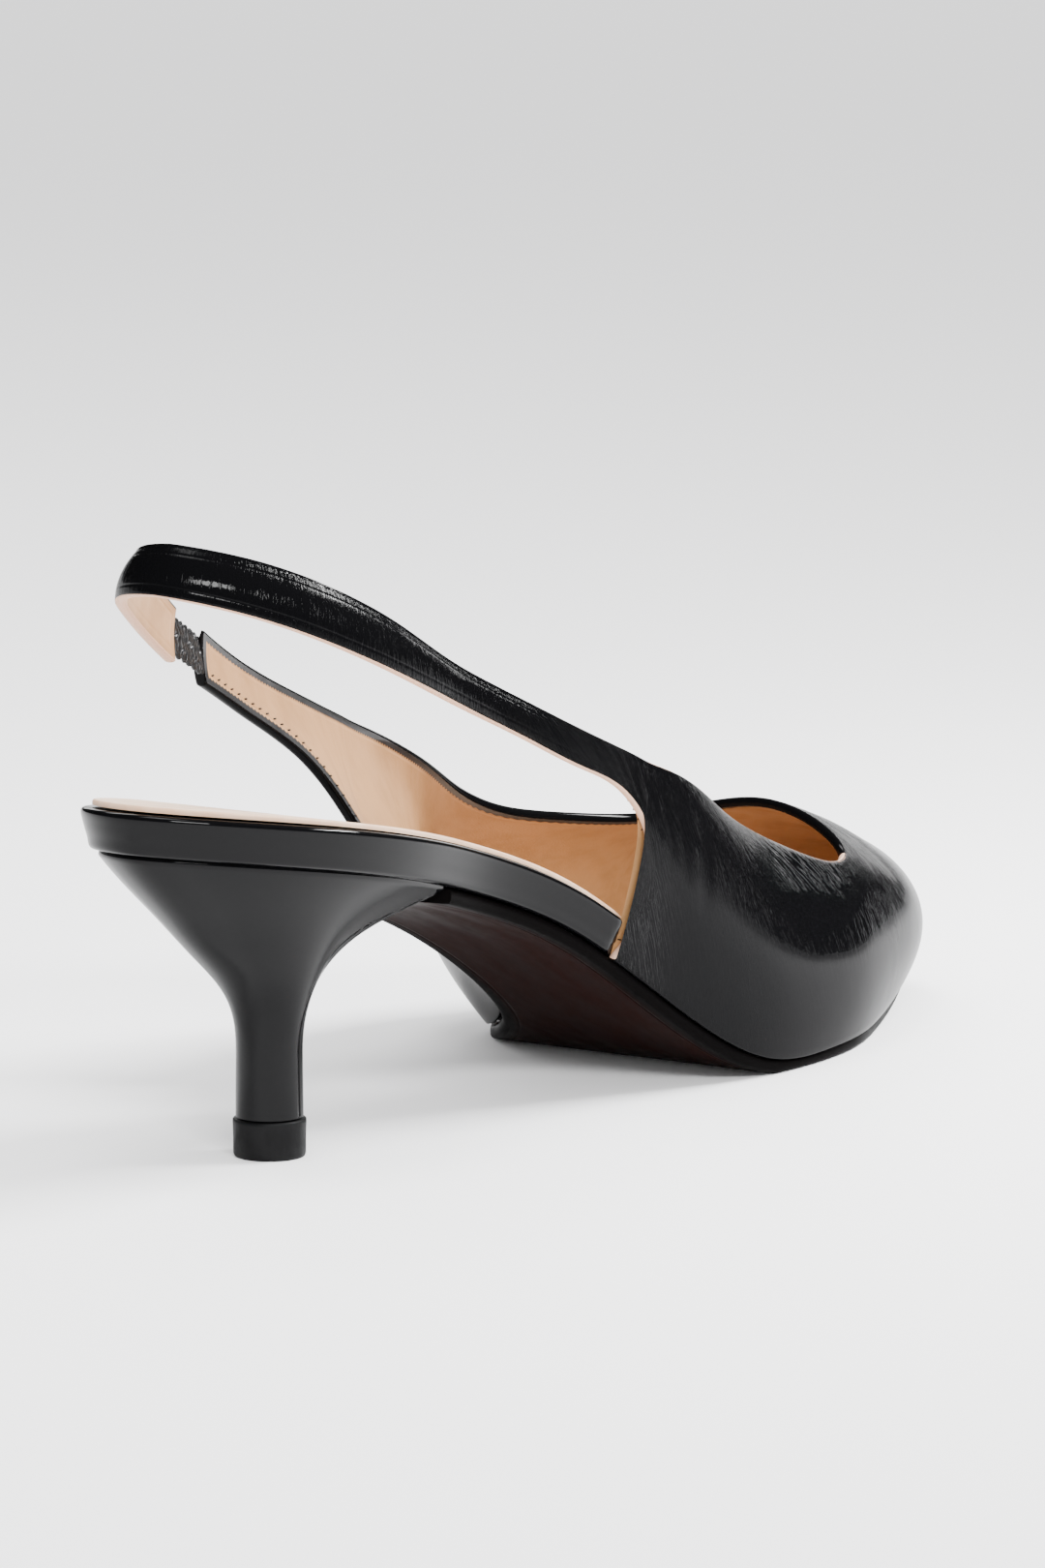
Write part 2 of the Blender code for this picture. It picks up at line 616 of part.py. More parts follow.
def make_heel(material):
    """Heel block: a round slim stem that opens into the seat's outline at the top."""
    corner = LAST.share_at(BREAST_ALONG)
    side_rows = int(HEEL_STEPS * 0.8) // 2
    breast_rows = HEEL_STEPS - 2 * side_rows
    outer = -corner * (1.0 - np.linspace(0.0, 1.0, side_rows + 1))
    w = np.concatenate([outer, -outer[-2::-1]])
    seat_x, seat_y = LAST.inset_edge(w, 0.0006)
    part = np.linspace(0.0, 1.0, breast_rows + 1)[1:-1]
    breast_y = seat_y[-1] + (seat_y[0] - seat_y[-1]) * part
    breast_x = seat_x[0] - 0.0025 * np.sin(part * math.pi)
    top_x, top_y = np.concatenate([seat_x, breast_x]), np.concatenate([seat_y, breast_y])
    top_z = LAST.underside(top_x) - CLEARANCE
    angle = np.arctan2(top_y, top_x - 0.004)
    stem_x, stem_y = STEM_RADIUS * np.cos(angle), STEM_RADIUS * np.sin(angle)
    front = (1.0 + np.cos(angle)) / 2.0
    foot = TOP_LIFT_HEIGHT + CLEARANCE
    rings = []
    for rise in np.concatenate([np.linspace(0.0, 0.40, 5), np.linspace(0.46, 1.0, 12)]):
        back = curve(HEEL[:, 0], HEEL[:, 1], rise)
        breast = curve(HEEL[:, 0], HEEL[:, 2], rise)
        open_up = back * (1.0 - front) + breast * front
        rings.append(np.stack([stem_x + (top_x - stem_x) * open_up, stem_y + (top_y - stem_y) * open_up,
                               foot + (top_z - foot) * rise], axis=1))
    sheet = Sheet()
    numbers = sheet.add(np.stack(rings))
    sheet.skin(np.concatenate([numbers, numbers[:, :1]], axis=1))
    sheet.faces.append(tuple(numbers[0]))
    rows = side_rows + 1
    outer_line, inner_line = numbers[-1, :rows], numbers[-1, 2 * rows - 2:rows - 2:-1]
    middle_points = [tuple((np.array(sheet.points[a]) + np.array(sheet.points[b])) / 2.0)
                     for a, b in zip(outer_line, inner_line)]
    start = len(sheet.points)
    sheet.points.extend(middle_points)
    middle = start + np.arange(len(middle_points))
    sheet.skin(np.stack([outer_line, middle, inner_line]))
    sheet.faces.append((middle[0], outer_line[0], *numbers[-1, :2 * rows - 2:-1], inner_line[0]))
    return new_piece("heel", sheet.points, sheet.faces, material)


def make_top_lift(material):
    """Rubber tip that stands on the floor."""
    angle = np.linspace(0.0, 2.0 * math.pi, 37)[:-1]
    sheet = Sheet()
    rings = []
    for height, radius in ((0.0, 0.96), (0.06, 1.0), (0.90, 1.015), (1.0, 0.985)):
        size = TOP_LIFT_RADIUS * radius
        rings.append(np.stack([size * np.cos(angle), size * np.sin(angle),
                               np.full_like(angle, height * TOP_LIFT_HEIGHT)], axis=1))
    numbers = sheet.add(np.stack(rings))
    sheet.skin(np.concatenate([numbers, numbers[:, :1]], axis=1))
    sheet.faces.append(tuple(numbers[0]))
    sheet.faces.append(tuple(numbers[-1]))
    return new_piece("top_lift", sheet.points, sheet.faces, material)


def main():
    for item in list(bpy.data.objects):
        bpy.data.objects.remove(item, do_unlink=True)
    patent = new_material("black patent leather", (0.012, 0.012, 0.013), 0.12, 1.0)
    lining = new_material("beige sock leather", (0.62, 0.42, 0.28), 0.55)
    sole = new_material("dark sole leather", (0.030, 0.018, 0.015), 0.35)
    rubber = new_material("black rubber", (0.015, 0.015, 0.016), 0.60)
    stretch = new_material("black elastic", (0.014, 0.014, 0.015), 0.70)
    make_top_lift(rubber)
    make_heel(patent)
    make_outsole(sole)
    make_insole(patent)
    make_sock(lining)
    make_upper(patent)
    make_elastic(stretch)


main()
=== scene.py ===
"""Looks of a slingback pump with a pointed toe and a kitten heel, right shoe.

Units are metres, the floor is z = 0, +X points to the toe and +Y to the inner side of the foot. Every
visible surface comes from the same last as the solids: an outline, the height of its underside, its
crown, and the fullness of its walls.
"""

import logging
import math
from dataclasses import dataclass, field
from enum import Enum, IntEnum

import bmesh
import bpy
import numpy as np
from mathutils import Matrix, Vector


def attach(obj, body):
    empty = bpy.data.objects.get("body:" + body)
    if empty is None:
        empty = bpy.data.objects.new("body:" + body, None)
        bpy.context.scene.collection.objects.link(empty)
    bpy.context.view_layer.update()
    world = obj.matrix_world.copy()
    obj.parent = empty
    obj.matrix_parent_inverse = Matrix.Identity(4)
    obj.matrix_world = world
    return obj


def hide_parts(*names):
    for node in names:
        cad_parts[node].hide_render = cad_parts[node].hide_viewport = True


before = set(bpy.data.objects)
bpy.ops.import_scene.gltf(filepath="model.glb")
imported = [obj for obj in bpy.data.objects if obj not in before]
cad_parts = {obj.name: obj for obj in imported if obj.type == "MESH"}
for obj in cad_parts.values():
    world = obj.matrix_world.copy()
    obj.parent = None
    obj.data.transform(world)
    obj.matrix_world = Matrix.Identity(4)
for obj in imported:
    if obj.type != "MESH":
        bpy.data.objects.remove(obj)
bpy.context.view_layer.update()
log = logging.getLogger("slingback")

Array = np.ndarray
MM = 0.001
# How far a row of stitches lies from the edge beside it, and the mark of a face that has none.
SEAM_INSET_MM = 1.45
NO_SEAM_MM = 9.0
# What the whole foot and a rise of 1 stand for where creases are measured.
FOOT_MM = 240.0
RISE_MM = 90.0

# Half widths of the last's underside: share along the foot, then its outer and its inner side as shares
# of the ball width.
OUTLINE = (
    (0.03, 0.140, 0.225), (0.09, 0.270, 0.310), (0.20, 0.325, 0.345), (0.30, 0.292, 0.295),
    (0.40, 0.345, 0.200), (0.47, 0.395, 0.155), (0.54, 0.445, 0.215), (0.60, 0.478, 0.385),
    (0.66, 0.490, 0.500), (0.72, 0.472, 0.515), (0.80, 0.385, 0.440), (0.88, 0.272, 0.335),
    (0.94, 0.178, 0.235), (0.98, 0.095, 0.135),
)
# Height of the underside above the floor: share along the foot, share of the heel height.
UNDERSIDE = (
    (0.00, 1.000), (0.10, 0.935), (0.20, 0.850), (0.30, 0.740), (0.40, 0.565), (0.50, 0.283),
    (0.60, 0.064), (0.68, 0.045), (0.76, 0.050), (0.84, 0.061), (0.92, 0.090), (1.00, 0.157),
)
# Rise of the crown above the underside: share along the foot, share of the crown height.
CROWN = (
    (0.00, 1.04), (0.15, 1.00), (0.33, 0.88), (0.46, 0.735), (0.58, 0.58),
    (0.68, 0.46), (0.77, 0.40), (0.85, 0.337), (0.91, 0.268), (0.96, 0.187),
)
# How the upper leaves the plain last: share along the foot, then as shares of the ball width the crown
# line's side, the outer wall's fullness, the inner wall's fullness, and the sling's way forward and inward.
FORM = (
    (0.00, 0.00, 0.000, 0.00, 0.200, 0.100), (0.10, 0.00, 0.000, 0.04, 0.175, 0.090),
    (0.20, 0.00, 0.010, 0.12, 0.100, 0.065), (0.33, 0.00, 0.030, 0.26, 0.010, 0.020),
    (0.46, 0.02, 0.055, 0.31, 0.000, 0.000), (0.58, 0.03, 0.065, 0.26, 0.000, 0.000),
    (0.70, 0.02, 0.055, 0.14, 0.000, 0.000), (0.82, 0.00, 0.078, 0.07, 0.000, 0.000),
    (0.92, 0.00, 0.068, 0.04, 0.000, 0.000), (1.00, 0.024, 0.00, 0.00, 0.000, 0.000),
)
# Sections across the leather from its lower to its top edge: signed share along the foot (outer side
# negative) and rise of the lower edge, then the same two of the top edge.
OUTER_VAMP = (
    (-0.807, 0.0, -0.807, 1.000), (-0.798, 0.0, -0.806, 0.860), (-0.782, 0.0, -0.800, 0.715),
    (-0.760, 0.0, -0.788, 0.605), (-0.730, 0.0, -0.766, 0.540), (-0.690, 0.0, -0.730, 0.522),
    (-0.640, 0.0, -0.680, 0.555), (-0.590, 0.0, -0.630, 0.575), (-0.540, 0.0, -0.580, 0.535),
    (-0.490, 0.0, -0.525, 0.455), (-0.437, 0.0, -0.470, 0.362),
)
SLING = (
    (-0.437, 0.000, -0.470, 0.362), (-0.452, 0.055, -0.460, 0.350), (-0.464, 0.120, -0.451, 0.340),
    (-0.467, 0.185, -0.442, 0.330), (-0.461, 0.240, -0.431, 0.319), (-0.442, 0.262, -0.416, 0.306),
    (-0.405, 0.242, -0.390, 0.290), (-0.350, 0.225, -0.342, 0.276), (-0.280, 0.219, -0.276, 0.271),
    (-0.200, 0.217, -0.200, 0.277), (-0.120, 0.227, -0.120, 0.290), (-0.050, 0.246, -0.050, 0.307),
    (0.000, 0.260, 0.000, 0.316), (0.050, 0.250, 0.050, 0.306), (0.120, 0.232, 0.120, 0.290),
    (0.209, 0.216, 0.202, 0.276),
)
INNER_VAMP = (
    (0.807, 0.0, 0.807, 1.000), (0.798, 0.0, 0.806, 0.870), (0.782, 0.0, 0.799, 0.755),
    (0.760, 0.0, 0.784, 0.675), (0.730, 0.0, 0.757, 0.635), (0.690, 0.0, 0.717, 0.615),
    (0.640, 0.0, 0.670, 0.595), (0.590, 0.0, 0.620, 0.575), (0.535, 0.0, 0.565, 0.520),
    (0.475, 0.0, 0.510, 0.435), (0.408, 0.0, 0.455, 0.352),
)
INNER_TAIL = (
    (0.408, 0.000, 0.455, 0.352), (0.416, 0.055, 0.443, 0.338), (0.419, 0.110, 0.432, 0.326),
    (0.414, 0.155, 0.420, 0.314), (0.400, 0.187, 0.403, 0.300), (0.373, 0.202, 0.375, 0.283),
    (0.333, 0.206, 0.335, 0.272), (0.300, 0.210, 0.298, 0.272), (0.270, 0.212, 0.266, 0.275),
)


def linear(colour: str) -> tuple[float, float, float, float]:
    """Turns a colour written as #rrggbb into the linear values that a shader takes.

    Args:
        colour: The colour as seen on a screen.

    Returns:
        Red, green, blue and alpha.
    """
    seen = np.array([int(colour[place:place + 2], 16) for place in (1, 3, 5)]) / 255.0
    light = np.where(seen <= 0.04045, seen / 12.92, ((seen + 0.055) / 1.055) ** 2.4)
    return (*map(float, light), 1.0)


def curve(places: Array, values: Array, at: Array) -> Array:
    """Smooth curve through values, free at both ends: a cubic whose bending also runs on smoothly.

    Args:
        places: Rising places along the curve.
        values: The curve's value at each place.
        at: Where it is read.

    Returns:
        The value at each of at.
    """
    places, values = np.asarray(places, float), np.asarray(values, float)
    at = np.clip(np.asarray(at, float), places[0], places[-1])
    gaps, count = np.diff(places), len(places)
    system, right, mid = np.eye(count), np.zeros(count), np.arange(1, count - 1)
    system[mid, mid - 1], system[mid, mid + 1] = gaps[:-1], gaps[1:]
    system[mid, mid] = 2.0 * (gaps[:-1] + gaps[1:])
    right[mid] = 6.0 * np.diff(np.diff(values) / gaps)
    bend = np.linalg.solve(system, right)
    left = np.clip(np.searchsorted(places, at) - 1, 0, count - 2)
    gap = gaps[left]
    before, after = places[left + 1] - at, at - places[left]
    return ((bend[left] * before ** 3 + bend[left + 1] * after ** 3) / (6.0 * gap)
            + (values[left] / gap - bend[left] * gap / 6.0) * before
            + (values[left + 1] / gap - bend[left + 1] * gap / 6.0) * after)


def smooth_step(value: Array, low: float, high: float) -> Array:
    """0 below low, 1 above high, and an S curve between."""
    share = np.clip((np.asarray(value, float) - low) / (high - low), 0.0, 1.0)
    return share * share * (3.0 - 2.0 * share)


def unit(vectors: Array) -> Array:
    """The same directions with a length of 1."""
    return vectors / np.maximum(np.linalg.norm(vectors, axis=-1, keepdims=True), 1e-12)


@dataclass(frozen=True)
class Last:
    """The form the shoe is built on. A place is (w, rise): w runs from -1 at the toe's tip along the
    outer side to 0 at the heel's back and on to +1 at the tip along the inner side; rise is 0 at the
    underside's edge and 1 on the crown."""

    length: float = 0.240
    seat_back: float = -0.0367
    ball_width: float = 0.070
    heel_height: float = 0.0562
    crown_height: float = 0.100
    seat_side: float = 0.0028
    toe_side: float = 0.0017
    low_fullness: float = 0.8
    ankle_x: float = 0.012
    ankle_soft: float = 0.014
    rows: dict = field(default_factory=dict)

    def __post_init__(self) -> None:
        """Works out the outline as curves of the share of its own run."""
        table, crown = np.array(OUTLINE), np.array(CROWN)
        x = self.seat_back + self.length * np.concatenate([[0.0], table[:, 0], [1.0]])
        outer = np.concatenate([[self.seat_side], -self.ball_width * table[:, 1], [self.toe_side]])
        inner = np.concatenate([[self.seat_side], self.ball_width * table[:, 2], [self.toe_side]])
        run = np.concatenate([[0.0], np.cumsum(np.hypot(np.diff(x), np.diff((inner - outer) / 2.0)))])
        share = run / run[-1]
        self.rows["share"] = np.concatenate([-share[2:0:-1], share, 2.0 - share[-2:-4:-1]])
        self.rows["x"] = np.concatenate([x[2:0:-1], x, x[-2:-4:-1]])
        self.rows["outer"], self.rows["inner"] = self.turned_ends(outer), self.turned_ends(inner)
        fine = np.linspace(0.0, 1.0, 2001)
        self.rows["fine"], self.rows["fine_x"] = fine, curve(self.rows["share"], self.rows["x"], fine)
        at = self.share_at(crown[:, 0])
        self.rows["crown_share"] = np.concatenate([at, [1.0], 2.0 - at[-1:-3:-1]])
        self.rows["crown"] = self.crown_height * np.concatenate([crown[:, 1], [0.0], -crown[-1:-3:-1, 1]])

    @staticmethod
    def turned_ends(side: Array) -> Array:
        """One side's values run on past both its ends, by its own values turned about them."""
        return np.concatenate([2 * side[0] - side[2:0:-1], side, 2 * side[-1] - side[-2:-4:-1]])

    def share_at(self, along: Array) -> Array:
        """Share of the outline's run at a share along the foot."""
        return np.interp(self.seat_back + self.length * np.asarray(along, float),
                         self.rows["fine_x"], self.rows["fine"])

    def place(self, signed_along: Array) -> Array:
        """A share along the foot with a side's sign, turned into w."""
        return np.sign(signed_along) * self.share_at(np.abs(signed_along))

    def along(self, x: Array) -> Array:
        """Share along the foot at x."""
        return (x - self.seat_back) / self.length

    def underside(self, x: Array) -> Array:
        """Height of the last's underside at x."""
        table = np.array(UNDERSIDE)
        return self.heel_height * curve(table[:, 0], table[:, 1], self.along(x))

    def form(self, column: int, x: Array) -> Array:
        """One column of the form table, read as a smooth curve.

        Args:
            column: Number of the column.
            x: Where it is read.

        Returns:
            Its values in metres.
        """
        table = np.array(FORM)
        places = np.concatenate([-table[2:0:-1, 0], table[:, 0]])
        return self.ball_width * curve(places, np.concatenate([table[2:0:-1, column], table[:, column]]),
                                       self.along(x))

    def edge(self, w: Array) -> tuple[Array, Array]:
        """Outline of the underside.

        Args:
            w: Places round it.

        Returns:
            Their x and y.
        """
        share, rows = np.abs(w), self.rows
        y = np.where(np.asarray(w) < 0, curve(rows["share"], rows["outer"], share),
                     curve(rows["share"], rows["inner"], share))
        return curve(rows["share"], rows["x"], share), y

    def inset_edge(self, w: Array, inset: Array) -> tuple[Array, Array]:
        """The underside's outline moved inwards, square to the line through its neighbours.

        Args:
            w: Places round it.
            inset: How far it moves at each.

        Returns:
            Their x and y.
        """
        w = np.asarray(w, float)
        step, side, share = 0.0004, np.where(w < 0, -1.0, 1.0), np.abs(w)
        x0, y0 = self.edge(side * np.clip(share - step, 0.0, 1.0))
        x1, y1 = self.edge(side * np.clip(share + step, 0.0, 1.0))
        end = (share < step) | (share > 1.0 - step)
        run_x = np.where(end, 0.0, x1 - x0)
        run_y = np.where(end, np.where(share > 0.5, -1.0, 1.0) * np.abs(y1 - y0), side * (y1 - y0))
        size = np.hypot(run_x, run_y)
        x, y = self.edge(w)
        return x + inset * run_y / size, y - side * inset * run_x / size

    def point(self, w: Array, rise: Array) -> Array:
        """Point of the upper's outer face: a quarter ellipse from the underside's outline (x, y) up to
        the crown, (crown - edge)(1 - cos t) sideways and height sin t upwards with t = rise * 90 degrees,
        plus fullness sin(180 degrees * rise) square to the foot.

        Args:
            w: Places round the last.
            rise: Their rise.

        Returns:
            The points, with x, y and z last.
        """
        w, rise = np.broadcast_arrays(np.asarray(w, float), np.asarray(rise, float))
        side = np.where(w < 0, -1.0, 1.0)
        x, y = self.edge(w)
        crown_x = self.ankle_x + self.ankle_soft * np.logaddexp(0.0, (x - self.ankle_x) / self.ankle_soft)
        height = curve(self.rows["crown_share"], self.rows["crown"], np.abs(w))
        turn = rise * math.pi / 2.0
        full = np.where(side < 0, self.form(2, x), self.form(3, x)) * np.sin(math.pi * rise)
        full = full * (1.0 + self.low_fullness * (1.0 - 2.0 * rise))
        across = 1.0 - np.cos(turn)
        return np.stack([x + (crown_x - x) * across + self.form(4, x),
                         y + (self.form(1, x) - y) * across + side * full + self.form(5, x),
                         self.underside(x) + height * np.sin(turn)], axis=-1)

    def outward(self, w: Array, rise: Array) -> Array:
        """Direction square to the upper's outer face: the cross product of its two slopes.

        Args:
            w: Places round the last.
            rise: Their rise.

        Returns:
            Directions with a length of 1, pointing away from the foot.
        """
        w, rise = np.broadcast_arrays(np.asarray(w, float), np.asarray(rise, float))
        step, up_step, end = 0.002, 0.01, 0.997
        tip, w = np.abs(w) > 0.999, np.clip(w, -end, end)
        along = self.point(w + step, rise) - self.point(w - step, rise)
        # On the crown line the slope upwards is taken from one side of the foot to the other.
        crown = 1.0 - up_step
        over = rise > crown
        up = (self.point(np.where(over, -w, w), np.where(over, crown, rise + up_step))
              - self.point(w, np.where(over, crown, rise - up_step)))
        square = unit(np.cross(up, along))
        square[tip] = (1.0, 0.0, 0.0)
        return square


@dataclass
class Patch:
    """A grid of points with what its faces need.

    Attributes:
        points: Rows by columns by 3.
        across: Rows by columns by 2, millimetres along and across the leather, for patterns.
        slot: Number of its material.
        marks: Values for each point that the materials read, by name.
    """

    points: Array
    across: Array | None = None
    slot: int = 0
    marks: dict[str, Array] = field(default_factory=dict)


def measured(points: Array) -> Array:
    """Adds up the steps along each row and column of a grid, from its first corner.

    Args:
        points: The grid.

    Returns:
        For each point, the millimetres along the grid (the mean of its columns) and across it.
    """
    along = np.linalg.norm(np.diff(points, axis=0, prepend=points[:1]), axis=2).cumsum(axis=0)
    over = np.linalg.norm(np.diff(points, axis=1, prepend=points[:, :1]), axis=2).cumsum(axis=1)
    return np.stack([along.mean(axis=1, keepdims=True) + 0.0 * along, over], axis=2) / MM


def make_piece(name: str, patches: list[Patch], materials: list[bpy.types.Material], node: str,
               sharp: float = 50.0) -> bpy.types.Object:
    """Joins patches into one smooth shaded piece that stands for a CAD node.

    Args:
        name: Name of the piece.
        patches: Its grids; points that meet are welded.
        materials: One for each slot number.
        node: CAD node that it stands for, or an empty text.
        sharp: Edges that bend more than this many degrees stay sharp.

    Returns:
        The piece, riding on the shoe's body.
    """
    points, faces, slots, uvs = [], [], [], []
    names = sorted({mark for patch in patches for mark in patch.marks})
    marks = {mark: [] for mark in names}
    start = 0
    for patch in patches:
        rows, columns = patch.points.shape[:2]
        numbers = start + np.arange(rows * columns).reshape(rows, columns)
        quads = np.stack([numbers[:-1, :-1], numbers[1:, :-1], numbers[1:, 1:], numbers[:-1, 1:]], axis=-1)
        points.append(patch.points.reshape(-1, 3))
        uv = patch.across if patch.across is not None else measured(patch.points)
        uvs.append(uv.reshape(-1, 2))
        faces.append(quads.reshape(-1, 4))
        slots.append(np.full(len(faces[-1]), patch.slot))
        for mark in names:
            value = patch.marks.get(mark, 0.0)
            marks[mark].append(np.broadcast_to(np.asarray(value, float), (rows, columns)).reshape(-1))
        start += rows * columns
    points, faces, uvs = np.concatenate(points), np.concatenate(faces), np.concatenate(uvs)
    mesh = bpy.data.meshes.new(name)
    mesh.from_pydata(points.tolist(), [], faces.tolist())
    mesh.polygons.foreach_set("material_index", np.concatenate(slots).astype(np.int32))
    mesh.uv_layers.new(name="leather").data.foreach_set("uv", uvs[faces.reshape(-1)].reshape(-1))
    for mark in names:
        layer = mesh.attributes.new(mark, "FLOAT", "POINT")
        layer.data.foreach_set("value", np.concatenate(marks[mark]).astype(np.float32))
    work = bmesh.new()
    work.from_mesh(mesh)
    bmesh.ops.remove_doubles(work, verts=work.verts, dist=2e-6)
    bmesh.ops.dissolve_degenerate(work, edges=work.edges, dist=1e-6)
    bmesh.ops.recalc_face_normals(work, faces=work.faces)
    work.to_mesh(mesh)
    work.free()
    for material in materials:
        mesh.materials.append(material)
    mesh.shade_smooth()
    mesh.set_sharp_from_angle(angle=math.radians(sharp))
    piece = bpy.data.objects.new(name, mesh)
    bpy.context.scene.collection.objects.link(piece)
    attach(piece, "root")
    if node:
        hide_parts(node)
    log.info("%s: %d faces", name, len(mesh.polygons))
    return piece


class Shader:
    """One material's nodes: one way to add a node, and three patterns made of several."""

    def __init__(self, name: str, colour: str, roughness: float, **constants: float) -> None:
        """Starts from the principled shader with its constant values.

        Args:
            name: Name of the material.
            colour: Base colour as #rrggbb.
            roughness: Roughness of the surface.
            **constants: Values of the shader's other sockets, by name.
        """
        self.material = bpy.data.materials.new(name)
        self.material.use_nodes = True
        self.material.diffuse_color = linear(colour)
        self.tree = self.material.node_tree
        self.surface = self.tree.nodes["Principled BSDF"]
        for socket, value in {"Base Color": colour, "Roughness": roughness, **constants}.items():
            self.give(socket, value)

    def add(self, kind: str, *values: object, into: dict | None = None, out: str | int = 0,
            **settings: object) -> bpy.types.NodeSocket:
        """Adds a node with its settings and links.

        Args:
            kind: The node's type, without its ShaderNode prefix.
            *values: What goes into its first sockets, in order.
            into: What goes into other sockets, by their names or numbers.
            out: The output that is wanted.
            **settings: Properties of the node.

        Returns:
            The wanted output.
        """
        node = self.tree.nodes.new("ShaderNode" + kind)
        for name, value in settings.items():
            setattr(node, name, value)
        for socket, value in {**dict(enumerate(values)), **(into or {})}.items():
            self.feed(node.inputs[socket], value)
        return node.outputs[out]

    def feed(self, socket: bpy.types.NodeSocket, value: object) -> None:
        """Links an output to a socket, or sets the socket's value.

        Args:
            socket: The socket that takes it.
            value: Another node's output, a #rrggbb colour, or a plain value.
        """
        if isinstance(value, bpy.types.NodeSocket):
            self.tree.links.new(value, socket)
        else:
            socket.default_value = linear(value) if isinstance(value, str) else value

    def give(self, socket: str, value: object) -> None:
        """Feeds one of the surface's own sockets."""
        self.feed(self.surface.inputs[socket], value)

    def noise(self, size_mm: tuple[float, float], detail: float = 2.0, shift: float = 0.0,
              roughness: float = 0.5) -> bpy.types.NodeSocket:
        """Soft noise between 0 and 1 with its own size along and across the leather.

        Args:
            size_mm: Size of its blotches along and across the leather, in millimetres.
            detail: Levels of finer noise in it.
            shift: Moves it, so that no two noises lie on each other.
            roughness: Strength of the finer levels.

        Returns:
            The noise.
        """
        scale = (1.0 / size_mm[0], 1.0 / size_mm[1], 1.0)
        place = self.add("Mapping", self.add("UVMap", uv_map="leather"), (shift, 0.37 * shift, 0.0),
                         into={"Scale": scale})
        return self.add("TexNoise", place, into={"Scale": 1.0, "Detail": detail, "Roughness": roughness},
                        noise_dimensions="2D")

    def line(self, distance: object, centre: float, half_width: float) -> bpy.types.NodeSocket:
        """1 on a line at that distance, falling in an S curve to 0 at half a width beside it.

        Args:
            distance: Distance from an edge.
            centre: Distance at which the line runs.
            half_width: Half the line's width.

        Returns:
            The line.
        """
        away = self.add("Math", distance, centre, operation="SUBTRACT")
        away = self.add("Math", away, operation="ABSOLUTE")
        return self.add("MapRange", away, 0.0, half_width, 1.0, 0.0, interpolation_type="SMOOTHSTEP")

    def relief(self, *layers: tuple[bpy.types.NodeSocket, float], coat: bool = False) -> None:
        """Raises the surface by the sum of some patterns, each times its height.

        Args:
            *layers: A pattern, and the millimetres that it rises by where it is 1.
            coat: Raises the clear coat as well.
        """
        height = 0.0
        for pattern, rise_mm in layers:
            height = self.add("Math", pattern, rise_mm, height, operation="MULTIPLY_ADD")
        bump = self.add("Bump", into={"Strength": 1.0, "Distance": MM, "Height": height})
        for socket in ("Normal", "Coat Normal")[:1 + coat]:
            self.give(socket, bump)


